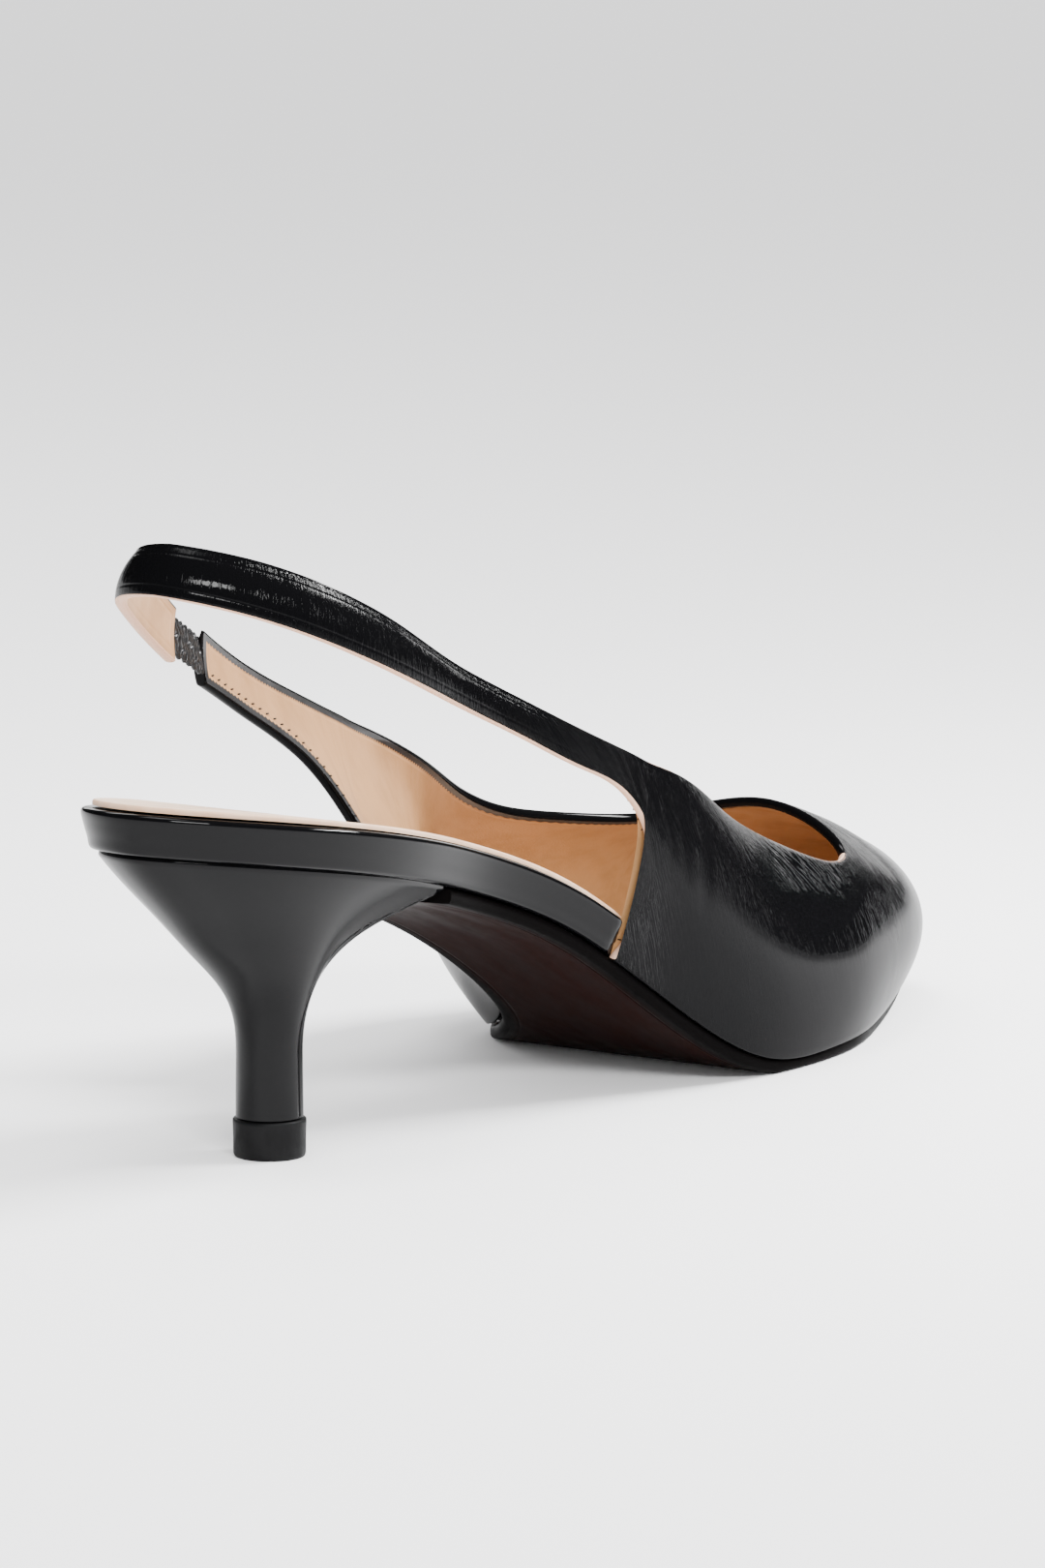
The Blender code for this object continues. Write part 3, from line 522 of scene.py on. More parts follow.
@dataclass(frozen=True)
class PatentLeather:
    """Black patent leather: dyed leather under a clear poured lacquer, drawn over a form.

    To the eye it is almost black, with sharp reflections that break up where the leather creases. The
    lacquer gives all the gloss, so the leather under it has next to none. The relief is the sum of four
    heights: fine creases where the piece's crease mark asks for them, a fine grain, a slow waviness, and
    a groove under the stitches at a set distance from the rim.

    The real grain, about 0.2 mm, is too fine to show here, so it is drawn coarser.
    """

    colour: str = "#070708"
    raw_edge: str = "#6b5144"
    ior: float = 1.02
    roughness: float = 0.45
    creased_roughness: float = 0.12
    coat: float = 0.40
    coat_roughness: float = 0.035
    coat_ior: float = 1.23
    crease_mm: tuple[float, float] = (0.80, 8.0)
    crease_depth_mm: float = 0.20
    grain_mm: tuple[float, float] = (0.55, 0.55)
    grain_depth_mm: float = 0.006
    wave_mm: tuple[float, float] = (15.0, 12.0)
    wave_depth_mm: float = 0.10
    stitch_line_mm: float = SEAM_INSET_MM
    stitch_line_depth_mm: float = 0.05
    line_gloss: float = 0.3
    line_half_mm: float = 0.4
    raw_mm: tuple[float, float] = (0.05, 0.30)

    def build(self, name: str) -> bpy.types.Material:
        """Makes the material.

        Args:
            name: Its name.

        Returns:
            The material.
        """
        shader = Shader(name, self.colour, self.roughness,
                        **{"IOR": self.ior, "Coat Weight": self.coat, "Coat IOR": self.coat_ior,
                           "Coat Roughness": self.coat_roughness})
        crease, rim, seam, raw_rim = (shader.add("Attribute", out="Fac", attribute_name=mark)
                                      for mark in ("crease", "rim_mm", "seam", "raw"))
        # Creases: noise with a sharp dent wherever it passes its middle.
        fine = shader.noise(self.crease_mm, detail=3.0, roughness=0.55)
        fold = shader.add("Math", fine, 0.5, operation="SUBTRACT")
        fold = shader.add("Math", fold, operation="ABSOLUTE")
        fold = shader.add("MapRange", fold, 0.0, 0.07, 0.0, 0.35, interpolation_type="SMOOTHSTEP")
        fine = shader.add("Math", shader.add("Math", fine, fold), crease, operation="MULTIPLY")
        # The grain stands out more where the leather creases.
        grain = shader.noise(self.grain_mm, detail=1.0, shift=3.1)
        depth = shader.add("Math", crease, 2.2, 0.35, operation="MULTIPLY_ADD")
        grain = shader.add("Math", grain, depth, operation="MULTIPLY")
        wave = shader.noise(self.wave_mm, detail=1.0, shift=7.7)
        line = shader.line(rim, self.stitch_line_mm, self.line_half_mm)
        line = shader.add("Math", line, seam, operation="MULTIPLY")
        shader.relief((fine, self.crease_depth_mm), (grain, self.grain_depth_mm), (wave, self.wave_depth_mm),
                      (line, -self.stitch_line_depth_mm), coat=True)
        shader.give("Coat Weight", shader.add("MapRange", line, 0.3, 1.0, self.coat, self.line_gloss,
                                              interpolation_type="SMOOTHSTEP"))
        raw = shader.add("MapRange", rim, *self.raw_mm, 1.0, 0.0, interpolation_type="SMOOTHSTEP")
        raw = shader.add("Math", raw, raw_rim, operation="MULTIPLY")
        shader.give("Base Color", shader.add("Mix", raw, into={6: self.colour, 7: self.raw_edge}, out=2,
                                             data_type="RGBA"))
        shader.give("Roughness", shader.add("Math", crease, self.creased_roughness, self.roughness,
                                            operation="MULTIPLY_ADD"))
        return shader.material


@dataclass(frozen=True)
class LiningLeather:
    """Smooth tan lining leather: dyed through and rolled flat, with hardly any finish on it.

    To the eye it has a soft sheen and faint clouds, and is a little darker along its edges. Its pores,
    near 0.1 mm on the real one, are too fine to show here, so they are drawn coarser.
    """

    light: str = "#a87e54"
    deep: str = "#90683e"
    turned: str = "#09090b"
    roughness: float = 0.52
    specular: float = 0.42
    rubbed_roughness: tuple[float, float] = (0.46, 0.60)
    coat_roughness: float = 0.06
    coat_ior: float = 1.25
    cloud_mm: tuple[float, float] = (11.0, 9.0)
    edge_shade_mm: float = 1.1
    pore_mm: tuple[float, float] = (0.32, 0.32)
    pore_depth_mm: float = 0.022
    slack_mm: tuple[float, float] = (3.5, 6.0)
    slack_depth_mm: float = 0.05
    seam_half_mm: float = 0.5
    seam_depth_mm: float = 0.06
    turned_mm: float = 1.15
    tooth_mm: float = 1.05
    tooth_height_mm: float = 0.13

    def turned_edge(self, shader: Shader, rim: bpy.types.NodeSocket) -> bpy.types.NodeSocket:
        """1 where the patent leather is turned over the edge. Its border is toothed by its stitches:
        the distance from the rim plus a sine along it.

        Args:
            shader: The lining's shader.
            rim: Distance from the rim.

        Returns:
            1 on the turned leather, 0 on the lining.
        """
        along = shader.add("SeparateXYZ", shader.add("UVMap", uv_map="leather"), out="X")
        phase = shader.add("Math", along, 2.0 * math.pi / self.tooth_mm, operation="MULTIPLY")
        tooth = shader.add("Math", phase, operation="SINE")
        distance = shader.add("Math", tooth, self.tooth_height_mm, rim, operation="MULTIPLY_ADD")
        inside = shader.add("MapRange", distance, self.turned_mm - 0.1, self.turned_mm + 0.1, 1.0, 0.0,
                            interpolation_type="SMOOTHSTEP")
        mark = shader.add("Attribute", out="Fac", attribute_name="turned")
        return shader.add("Math", inside, mark, operation="MULTIPLY")

    def build(self, name: str) -> bpy.types.Material:
        """Makes the material.

        Args:
            name: Its name.

        Returns:
            The material.
        """
        shader = Shader(name, self.light, self.roughness,
                        **{"Specular IOR Level": self.specular, "Coat Roughness": self.coat_roughness,
                           "Coat IOR": self.coat_ior})
        rim = shader.add("Attribute", out="Fac", attribute_name="rim_mm")
        cloud = shader.noise(self.cloud_mm, detail=4.0, shift=1.3, roughness=0.6)
        shade = shader.add("MapRange", cloud, 0.35, 0.75, 0.0, 0.55, interpolation_type="SMOOTHSTEP")
        near_edge = shader.add("MapRange", rim, 0.0, self.edge_shade_mm, 0.45, 0.0,
                               interpolation_type="SMOOTHSTEP")
        shade = shader.add("Math", shade, near_edge)
        tan = shader.add("Mix", shade, into={6: self.light, 7: self.deep}, out=2, data_type="RGBA")
        turned = self.turned_edge(shader, rim)
        shader.give("Base Color", shader.add("Mix", turned, into={6: tan, 7: self.turned}, out=2,
                                             data_type="RGBA"))
        shader.give("Coat Weight", turned)
        shader.give("Roughness", shader.add("MapRange", cloud, 0.2, 0.8, *self.rubbed_roughness,
                                            interpolation_type="SMOOTHSTEP"))
        shader.relief((shader.noise(self.pore_mm, shift=5.0), self.pore_depth_mm),
                      (shader.noise(self.slack_mm, shift=9.0), self.slack_depth_mm),
                      (shader.line(rim, SEAM_INSET_MM, self.seam_half_mm), -self.seam_depth_mm))
        return shader.material


@dataclass(frozen=True)
class CutEdge:
    """Trimmed edge of the lining leather: cut through its undyed middle, so pale, dull and fibrous."""

    light: str = "#d8b49c"
    deep: str = "#b98f74"
    roughness: float = 0.68
    fibre_mm: tuple[float, float] = (0.5, 0.12)
    fibre_depth_mm: float = 0.05

    def build(self, name: str) -> bpy.types.Material:
        """Makes the material.

        Args:
            name: Its name.

        Returns:
            The material.
        """
        shader = Shader(name, self.light, self.roughness)
        fibres = shader.noise(self.fibre_mm, detail=3.0)
        shader.give("Base Color", shader.add("Mix", fibres, into={6: self.light, 7: self.deep}, out=2,
                                             data_type="RGBA"))
        shader.relief((fibres, self.fibre_depth_mm))
        return shader.material


@dataclass(frozen=True)
class SoleLeather:
    """Dark sole leather, dyed and polished: brown black, black at its edge, with a dull shine in streaks
    along the fibres and a groove beside the rim."""

    middle: str = "#1a0a08"
    edge: str = "#060505"
    ior: float = 1.05
    roughness: float = 0.36
    streaked_roughness: tuple[float, float] = (0.30, 0.46)
    cloud_mm: tuple[float, float] = (16.0, 7.0)
    edge_mm: tuple[float, float] = (1.0, 5.0)
    fibre_mm: tuple[float, float] = (2.6, 0.35)
    fibre_depth_mm: float = 0.012
    groove_mm: float = 3.4
    groove_half_mm: float = 0.5
    groove_depth_mm: float = 0.10

    def build(self, name: str) -> bpy.types.Material:
        """Makes the material.

        Args:
            name: Its name.

        Returns:
            The material.
        """
        shader = Shader(name, self.middle, self.roughness, **{"IOR": self.ior})
        rim = shader.add("Attribute", out="Fac", attribute_name="rim_mm")
        cloud = shader.noise(self.cloud_mm, detail=4.0, roughness=0.6)
        brown = shader.add("MapRange", rim, *self.edge_mm, 0.0, 1.0, interpolation_type="SMOOTHSTEP")
        clouded = shader.add("MapRange", cloud, 0.1, 0.9, 0.55, 1.0, interpolation_type="SMOOTHSTEP")
        brown = shader.add("Math", brown, clouded, operation="MULTIPLY")
        shader.give("Base Color", shader.add("Mix", brown, into={6: self.edge, 7: self.middle}, out=2,
                                             data_type="RGBA"))
        shader.give("Roughness", shader.add("MapRange", cloud, 0.2, 0.8, *self.streaked_roughness,
                                            interpolation_type="SMOOTHSTEP"))
        shader.relief((shader.noise(self.fibre_mm, detail=3.0, shift=2.0), self.fibre_depth_mm),
                      (shader.line(rim, self.groove_mm, self.groove_half_mm), -self.groove_depth_mm))
        return shader.material


@dataclass(frozen=True)
class Rubber:
    """Hard black rubber, moulded: matt and deep black, with a fine speckle and a few scuffs. The real
    speckle, near 0.1 mm, is too fine to show here, so it is drawn coarser."""

    colour: str = "#0b0b0c"
    ior: float = 1.22
    roughness: float = 0.55
    scuffed_roughness: tuple[float, float] = (0.48, 0.66)
    speck_mm: tuple[float, float] = (0.25, 0.25)
    scuff_mm: tuple[float, float] = (1.6, 5.0)
    depth_mm: float = 0.02

    def build(self, name: str) -> bpy.types.Material:
        """Makes the material.

        Args:
            name: Its name.

        Returns:
            The material.
        """
        shader = Shader(name, self.colour, self.roughness, **{"IOR": self.ior})
        scuff = shader.noise(self.scuff_mm, detail=4.0, shift=4.0)
        shader.relief((shader.noise(self.speck_mm, detail=3.0), self.depth_mm), (scuff, self.depth_mm))
        shader.give("Roughness", shader.add("MapRange", scuff, 0.3, 0.8, *self.scuffed_roughness,
                                            interpolation_type="SMOOTHSTEP"))
        return shader.material


@dataclass(frozen=True)
class Thread:
    """Waxed sewing thread, twisted from three strands: black, with a faint slanted ribbing."""

    colour: str = "#09090a"
    roughness: float = 0.5
    specular: float = 0.25
    twist_mm: float = 0.28
    twist_depth_mm: float = 0.04
    twist_angle: float = 0.7

    def build(self, name: str) -> bpy.types.Material:
        """Makes the material.

        Args:
            name: Its name.

        Returns:
            The material.
        """
        shader = Shader(name, self.colour, self.roughness, **{"Specular IOR Level": self.specular})
        place = shader.add("Mapping", shader.add("UVMap", uv_map="leather"),
                           into={"Rotation": (0.0, 0.0, self.twist_angle)})
        # The wave pattern repeats about every 0.32 units at a scale of 1.
        twist = shader.add("TexWave", place, into={"Scale": 0.32 / self.twist_mm}, out="Fac")
        shader.relief((twist, self.twist_depth_mm))
        return shader.material


@dataclass(frozen=True)
class GatheredElastic:
    """Thin coated leather gathered over elastic: black and glossy in small broken lights, with lighter
    tops on its folds."""

    colour: str = "#0f0f10"
    fold_top: str = "#1c1c1e"
    ior: float = 1.25
    roughness: float = 0.42
    coat: float = 0.6
    coat_roughness: float = 0.2
    coat_ior: float = 1.3
    crumple_mm: tuple[float, float] = (0.5, 1.4)
    crumple_depth_mm: float = 0.10

    def build(self, name: str) -> bpy.types.Material:
        """Makes the material.

        Args:
            name: Its name.

        Returns:
            The material.
        """
        shader = Shader(name, self.colour, self.roughness,
                        **{"IOR": self.ior, "Coat Weight": self.coat, "Coat IOR": self.coat_ior,
                           "Coat Roughness": self.coat_roughness})
        fold = shader.add("Attribute", out="Fac", attribute_name="fold")
        # The tops of the folds get a lighter colour, blended in towards each ridge's crest.
        top_share = shader.add("MapRange", fold, 0.55, 1.0, 0.0, 0.8, interpolation_type="SMOOTHSTEP")
        shader.give("Base Color", shader.add("Mix", top_share, into={6: self.colour, 7: self.fold_top}, out=2,
                                             data_type="RGBA"))
        shader.relief((shader.noise(self.crumple_mm, detail=3.0), self.crumple_depth_mm), coat=True)
        return shader.material


@dataclass(frozen=True)
class Finishes:
    """Every material of the shoe."""

    patent: bpy.types.Material
    smooth_patent: bpy.types.Material
    lining: bpy.types.Material
    sock: bpy.types.Material
    edge: bpy.types.Material
    sole: bpy.types.Material
    rubber: bpy.types.Material
    thread: bpy.types.Material
    elastic: bpy.types.Material

    @classmethod
    def make(cls) -> "Finishes":
        """Builds them all.

        Returns:
            The finishes. Patent leather drawn over a block is tighter than on the upper: it has less
            waviness and grain, a broader gloss, and a deeper seam.
        """
        return cls(
            patent=PatentLeather().build("patent leather of the upper"),
            smooth_patent=PatentLeather(
                coat=0.50, coat_roughness=0.06, coat_ior=1.32, wave_depth_mm=0.04, grain_depth_mm=0.004,
                line_half_mm=0.55, stitch_line_depth_mm=0.25, line_gloss=0.05,
            ).build("patent leather drawn over a block"),
            lining=LiningLeather().build("tan lining leather"),
            sock=LiningLeather(light="#d9bda4", deep="#c39c7d", roughness=0.5).build("beige sock leather"),
            edge=CutEdge().build("trimmed lining edge"),
            sole=SoleLeather().build("dark sole leather"),
            rubber=Rubber().build("heel tip rubber"),
            thread=Thread().build("black thread"),
            elastic=GatheredElastic().build("gathered elastic"),
        )


class Side(Enum):
    """Side of the foot, with the sign of its places on the last."""

    OUTER = -1.0
    INNER = 1.0


class Skin(IntEnum):
    """Which leather a face of the upper shows, with the number of its material."""

    PATENT = 0
    LINING = 1
    CUT_EDGE = 2


@dataclass(frozen=True)
class Crease:
    """A soft trough in the leather from one place to another, on one side.

    Attributes:
        side: The side of the foot that it lies on.
        start: Share along the foot, and rise.
        end: The same of its other end.
        width_mm: Distance at which it has faded to a third.
        depth_mm: How deep it is; a ridge has a negative depth.
    """

    side: Side
    start: tuple[float, float]
    end: tuple[float, float]
    width_mm: float
    depth_mm: float

    def height(self, along_mm: Array, rise_mm: Array, side: Array) -> Array:
        """Height of the leather above its smooth form: -depth * exp(-(distance / width) squared), half as
        strong at the trough's ends as in its middle.

        Args:
            along_mm: Places along the foot.
            rise_mm: Their rise.
            side: Their side's sign.

        Returns:
            The height at each place, in metres.
        """
        start = np.array(self.start) * (FOOT_MM, RISE_MM)
        run = np.array(self.end) * (FOOT_MM, RISE_MM) - start
        off = np.stack([along_mm, rise_mm], axis=-1) - start
        share = np.clip((off @ run) / (run @ run), 0.0, 1.0)
        distance = np.linalg.norm(off - share[..., None] * run, axis=-1)
        fade = 1.0 - 0.5 * np.abs(2.0 * share - 1.0)
        height = -self.depth_mm * MM * fade * np.exp(-(distance / self.width_mm) ** 2)
        return np.where(side == self.side.value, height, 0.0)


CREASES = (
    Crease(Side.OUTER, (0.452, 0.265), (0.432, 0.335), 1.0, 0.22),
    Crease(Side.OUTER, (0.462, 0.262), (0.446, 0.345), 1.1, 0.26),
    Crease(Side.OUTER, (0.474, 0.255), (0.462, 0.360), 1.1, 0.24),
    Crease(Side.OUTER, (0.486, 0.240), (0.480, 0.375), 1.2, 0.22),
    Crease(Side.OUTER, (0.498, 0.225), (0.499, 0.385), 1.3, 0.18),
    Crease(Side.OUTER, (0.440, 0.272), (0.418, 0.316), 0.9, 0.20),
    Crease(Side.OUTER, (0.425, 0.268), (0.404, 0.305), 0.9, 0.16),
    Crease(Side.OUTER, (0.515, 0.200), (0.525, 0.360), 1.6, 0.14),
    Crease(Side.OUTER, (0.380, 0.245), (0.366, 0.280), 1.0, 0.14),
    Crease(Side.OUTER, (0.330, 0.232), (0.318, 0.268), 1.1, 0.12),
    Crease(Side.OUTER, (0.835, 0.900), (0.845, 0.700), 2.2, 0.16),
    Crease(Side.OUTER, (0.815, 0.800), (0.828, 0.640), 1.8, 0.14),
    Crease(Side.INNER, (0.360, 0.215), (0.352, 0.265), 1.2, 0.26),
    Crease(Side.INNER, (0.382, 0.220), (0.372, 0.275), 1.2, 0.22),
    Crease(Side.INNER, (0.405, 0.215), (0.398, 0.290), 1.4, 0.24),
    Crease(Side.INNER, (0.430, 0.180), (0.425, 0.300), 1.6, 0.20),
    Crease(Side.INNER, (0.455, 0.150), (0.452, 0.310), 1.8, 0.18),
    Crease(Side.INNER, (0.320, 0.218), (0.314, 0.262), 1.1, 0.18),
    Crease(Side.INNER, (0.835, 0.880), (0.846, 0.720), 2.0, 0.14),
)

# How strong the fine creases are: signed share along the foot, strength on the sling or tail there.
CREASE_STRENGTH = (
    (-1.00, 0.00), (-0.90, 0.06), (-0.80, 0.18), (-0.66, 0.38), (-0.56, 0.60), (-0.50, 0.90),
    (-0.44, 1.30), (-0.38, 1.60), (-0.30, 1.20), (-0.20, 0.80), (-0.10, 0.45), (0.00, 0.15),
    (0.12, 0.25), (0.26, 1.00), (0.36, 1.10), (0.44, 0.90), (0.52, 0.45), (0.66, 0.20), (0.80, 0.10),
    (0.90, 0.02), (1.00, 0.00),
)


@dataclass
class Strip:
    """One sheet of the upper as grids: w and rise, its outer face, its inner face, and the direction square
    to it."""

    w: Array
    rise: Array
    outer: Array
    inner: Array
    square: Array


@dataclass
class Upper:
    """Vamp, quarters and sling as one hollow wall with its rim, its lining and its stitches."""

    last: Last
    finishes: Finishes
    # The leather, in metres, and the shares along the foot between which its padding fades out.
    wall: float = 0.0017
    rim_bulge: float = 0.00045
    padding: float = 0.0008
    lean: float = 0.0022
    padded_until: tuple[float, float] = (0.34, 0.47)
    # The stitches, in metres.
    stitch_pitch: float = 0.0021
    stitch_length: float = 0.0010
    stitch_radius: float = 0.00015
    stitch_start: float = 0.002
    # Rows and columns of the grids; the patent leather is turned over on the first of the vamp's rows.
    toe_rows: int = 90
    vamp_rows: int = 190
    sling_rows: int = 390
    tail_rows: int = 170
    turned_rows: int = 40
    columns: int = 34
    rim_steps: int = 10
    black_steps: int = 1
    toe_crowding: float = 1.15
    # Where the patterns start on the toe and on the inner side, in millimetres.
    toe_pattern_mm: float = -90.0
    inner_pattern_mm: float = 400.0
    # Shares along the foot between which the creases begin to fan and end it, and how much they slant.
    fan: tuple[float, float] = (0.30, 0.44)
    fan_end: tuple[float, float] = (0.55, 0.80)
    fan_slant: float = 0.75
    fan_loss: float = 0.6
    # The vamp: shares along the foot where it begins, rises between which creases set in, and how strong.
    vamp_from: tuple[float, float] = (0.42, 0.50)
    calm_until: tuple[float, float] = (0.18, 0.36)
    calm_share: float = 0.92
    most_creased: float = 1.6
    # Where the stitch line ends, as shares along the foot, and where the raw edge fades: shares of the
    # vamp's rows, then rises.
    seam_until: tuple[float, float] = (0.38, 0.42)
    raw_until: tuple[float, float] = (0.55, 0.85)
    raw_above: tuple[float, float] = (0.25, 0.30)

    def places(self, tables: list[tuple], counts: list[int]) -> Array:
        """Rows of places along joined tables: the top edge is one smooth curve, the lower edge turns a
        corner where two tables meet.

        Args:
            tables: Edge tables in order; each begins with the last row of the one before.
            counts: Rows wanted in each table.

        Returns:
            For each row, w and rise of its lower edge, then of its top edge.
        """
        parts = [np.array(table) for table in tables]
        joined = np.concatenate([parts[0]] + [part[1:] for part in parts[1:]])
        low = self.last.point(self.last.place(joined[:, 0]), joined[:, 1])
        top = self.last.point(self.last.place(joined[:, 2]), joined[:, 3])
        steps = (np.linalg.norm(np.diff(low, axis=0), axis=1) + np.linalg.norm(np.diff(top, axis=0), axis=1))
        run = np.concatenate([[0.0], np.cumsum(steps / 2.0)])
        rows, start = [], 0
        for number, (part, count) in enumerate(zip(parts, counts)):
            end = start + len(part) - 1
            at = np.linspace(run[start], run[end], count + 1)[min(number, 1):]
            own = run[start:end + 1]
            rows.append(np.stack([
                curve(own, self.last.place(part[:, 0]), at), curve(own, part[:, 1], at),
                curve(run, self.last.place(joined[:, 2]), at), curve(run, joined[:, 3], at)], axis=1))
            start = end
        return np.concatenate(rows)

    def strip(self, rows: Array) -> Strip:
        """The grids between each row's lower and top edge, with the listed creases pressed in. Behind
        the cut the leather is padded, thickest in its middle, and leans inwards towards its top edge.

        Args:
            rows: w and rise of each row's lower edge, then of its top edge.

        Returns:
            The sheet's two faces.
        """
        share = np.linspace(0.0, 1.0, self.columns + 1)[None, :]
        w = rows[:, 0:1] * (1.0 - share) + rows[:, 2:3] * share
        rise = rows[:, 1:2] * (1.0 - share) + rows[:, 3:4] * share
        outer, square = self.last.point(w, rise), self.last.outward(w, rise)
        along = self.last.along(self.last.edge(w)[0])
        side = np.where(w < 0, -1.0, 1.0)
        relief = sum(crease.height(along * FOOT_MM, rise * RISE_MM, side) for crease in CREASES)
        # The creases fade within a twelfth of the sheet's width from its edges.
        relief = relief * np.clip(np.minimum(share, 1.0 - share) * 12.0, 0.0, 1.0)
        padded = 1.0 - smooth_step(np.abs(along), *self.padded_until)
        relief = relief + padded * (self.padding * (0.75 - (2.0 * share - 1.0) ** 2)
                                    + self.lean * (0.35 - share))
        lift = relief[..., None] * square
        return Strip(w, rise, outer + lift, outer - self.wall * square + 0.3 * lift, square)

    def slanted(self, strip: Strip, start_mm: float) -> Array:
        """Pattern places, slanted so that fine creases fan from the cut into the strap.

        Args:
            strip: The sheet.
            start_mm: Added to the places along it, so that sheets don't share their patterns.

        Returns:
            Millimetres along the sheet, less a share of those across it, and millimetres across it.
        """
        place = measured(strip.outer)
        along = np.abs(self.last.along(self.last.edge(strip.w)[0]))
        slant = self.fan_slant * smooth_step(along, *self.fan)
        slant = slant * (1.0 - self.fan_loss * smooth_step(along, *self.fan_end))
        place[..., 0] += start_mm - slant * place[..., 1]
        return place

    def strength(self, strip: Strip) -> Array:
        """Strength of the fine creases, from the table; less low down on the vamp.

        Args:
            strip: The sheet.

        Returns:
            Its strength at each point.
        """
        table = np.array(CREASE_STRENGTH)
        along = np.sign(strip.w) * self.last.along(self.last.edge(strip.w)[0])
        vamp = smooth_step(np.abs(along), *self.vamp_from)
        low_down = 1.0 - self.calm_share * vamp * (1.0 - smooth_step(strip.rise, *self.calm_until))
        return curve(table[:, 0], table[:, 1], along).clip(0.0, self.most_creased) * low_down

    def rim(self, loop: dict[str, Array]) -> Array:
        """Rounded rim: half an ellipse from the outer to the inner face, bulging beyond the edge.

        Args:
            loop: Outer and inner points round the closed edge, and the direction that leaves the leather.

        Returns:
            Grid of the loop's points by the rim's steps.
        """
        turn = np.linspace(0.0, math.pi, self.rim_steps + 1)[None, :, None]
        middle = (loop["outer"] + loop["inner"])[:, None] / 2.0
        half = (loop["outer"] - loop["inner"])[:, None] / 2.0
        return middle + half * np.cos(turn) + self.rim_bulge * loop["away"][:, None] * np.sin(turn)

    def edge_loop(self, caps: dict[Side, Strip], strips: dict[Side, Strip]) -> dict[str, Array]:
        """The upper's one closed edge, from the toe's tip along the outer feather line, round the sling,
        across the throat, round the inner tail and back along the inner feather line.

        Args:
            caps: The sheets over the toe.
            strips: The sheets behind them.

        Returns:
            Round the edge: the outer and inner points, the direction square to the leather, the direction
            that leaves it, and whether the place lies on the feather line.
        """

        def run(grids: str) -> Array:
            """One of the sheets' grids, read round the edge.

            Args:
                grids: Name of the grid.

            Returns:
                Its values in order.
            """
            cap_out, cap_in = getattr(caps[Side.OUTER], grids), getattr(caps[Side.INNER], grids)
            out, inn = getattr(strips[Side.OUTER], grids), getattr(strips[Side.INNER], grids)
            return np.concatenate([
                cap_out[:-1, 0], out[:-1, 0], out[-1, :-1], out[:0:-1, -1],
                inn[:-1, -1], inn[-1, :0:-1], inn[:0:-1, 0], cap_in[:0:-1, 0]])

        outer, inner, square = run("outer"), run("inner"), run("square")
        ahead = unit(np.roll(outer, -1, axis=0) - np.roll(outer, 1, axis=0))
        away = unit(np.cross(ahead, square))
        # A row on the sling, where it's plain which way leaves the leather.
        row = self.vamp_rows + 60
        inward = strips[Side.OUTER].outer[row, 1] - strips[Side.OUTER].outer[row, 0]
        if away[self.toe_rows + row] @ inward > 0:
            away = -away
        feather = np.zeros(len(outer), bool)
        feather[:self.toe_rows + self.vamp_rows + 1] = True
        feather[-(self.toe_rows + self.vamp_rows):] = True
        return {"outer": outer, "inner": inner, "square": square, "away": away, "feather": feather}

    @staticmethod
    def nearest_mm(points: Array, edge: Array, most_mm: float = 12.0) -> Array:
        """Distance from each point to the nearest point of the edge. The edge is taken in short parts, and
        each is only set against the points near it.

        Args:
            points: A grid of points.
            edge: Points of the edge in order.
            most_mm: Distance that stands for all greater ones.

        Returns:
            The distances in millimetres.
        """
        flat = points.reshape(-1, 3)
        best = np.full(len(flat), most_mm ** 2)
        for part in np.array_split(edge, max(1, len(edge) // 24)):
            centre = part.mean(axis=0)
            reach = most_mm * MM + np.linalg.norm(part - centre, axis=1).max()
            near = np.nonzero(((flat - centre) ** 2).sum(axis=1) < reach ** 2)[0]
            if len(near):
                gap = ((flat[near, None] - part[None]) ** 2).sum(axis=2).min(axis=1) / MM ** 2
                best[near] = np.minimum(best[near], gap)
        return np.sqrt(best).reshape(points.shape[:2])

    def stitches(self, path: Array, square: Array, away: Array, length: float, radius: float) -> Array:
        """Stitches along a path, each a bent capsule whose ends dive into the leather.

        Args:
            path: Points that the seam follows.
            square: Direction square to the leather at each.
            away: Direction towards the edge at each.
            length: Length of a stitch.
            radius: Radius of the thread.

        Returns:
            Stitches by rings by ring points by 3.
        """
        steps = np.linalg.norm(np.diff(path, axis=0), axis=1)
        run = np.concatenate([[0.0], np.cumsum(steps)])
        at = np.arange(self.stitch_start, run[-1] - self.stitch_start, self.stitch_pitch)
        centre, up, out = (np.stack([np.interp(at, run, rows[:, axis]) for axis in range(3)], axis=1)
                           for rows in (path, square, away))
        up = unit(up)
        out = unit(out - (out * up).sum(axis=1, keepdims=True) * up)
        ahead = np.cross(up, out)
        place = np.linspace(-1.0, 1.0, 9)
        size = radius * np.sqrt(np.clip(1.0 - place ** 6, 0.02, 1.0))
        turn = np.linspace(0.0, 2.0 * math.pi, 9)
        rise = radius * (0.55 - 1.1 * place ** 2)
        return (centre[:, None, None] + ahead[:, None, None] * (place * length / 2.0)[None, :, None, None]
                + up[:, None, None] * (rise[:, None] + size[:, None] * np.sin(turn))[None, :, :, None]
                + out[:, None, None] * (size[:, None] * np.cos(turn))[None, :, :, None])

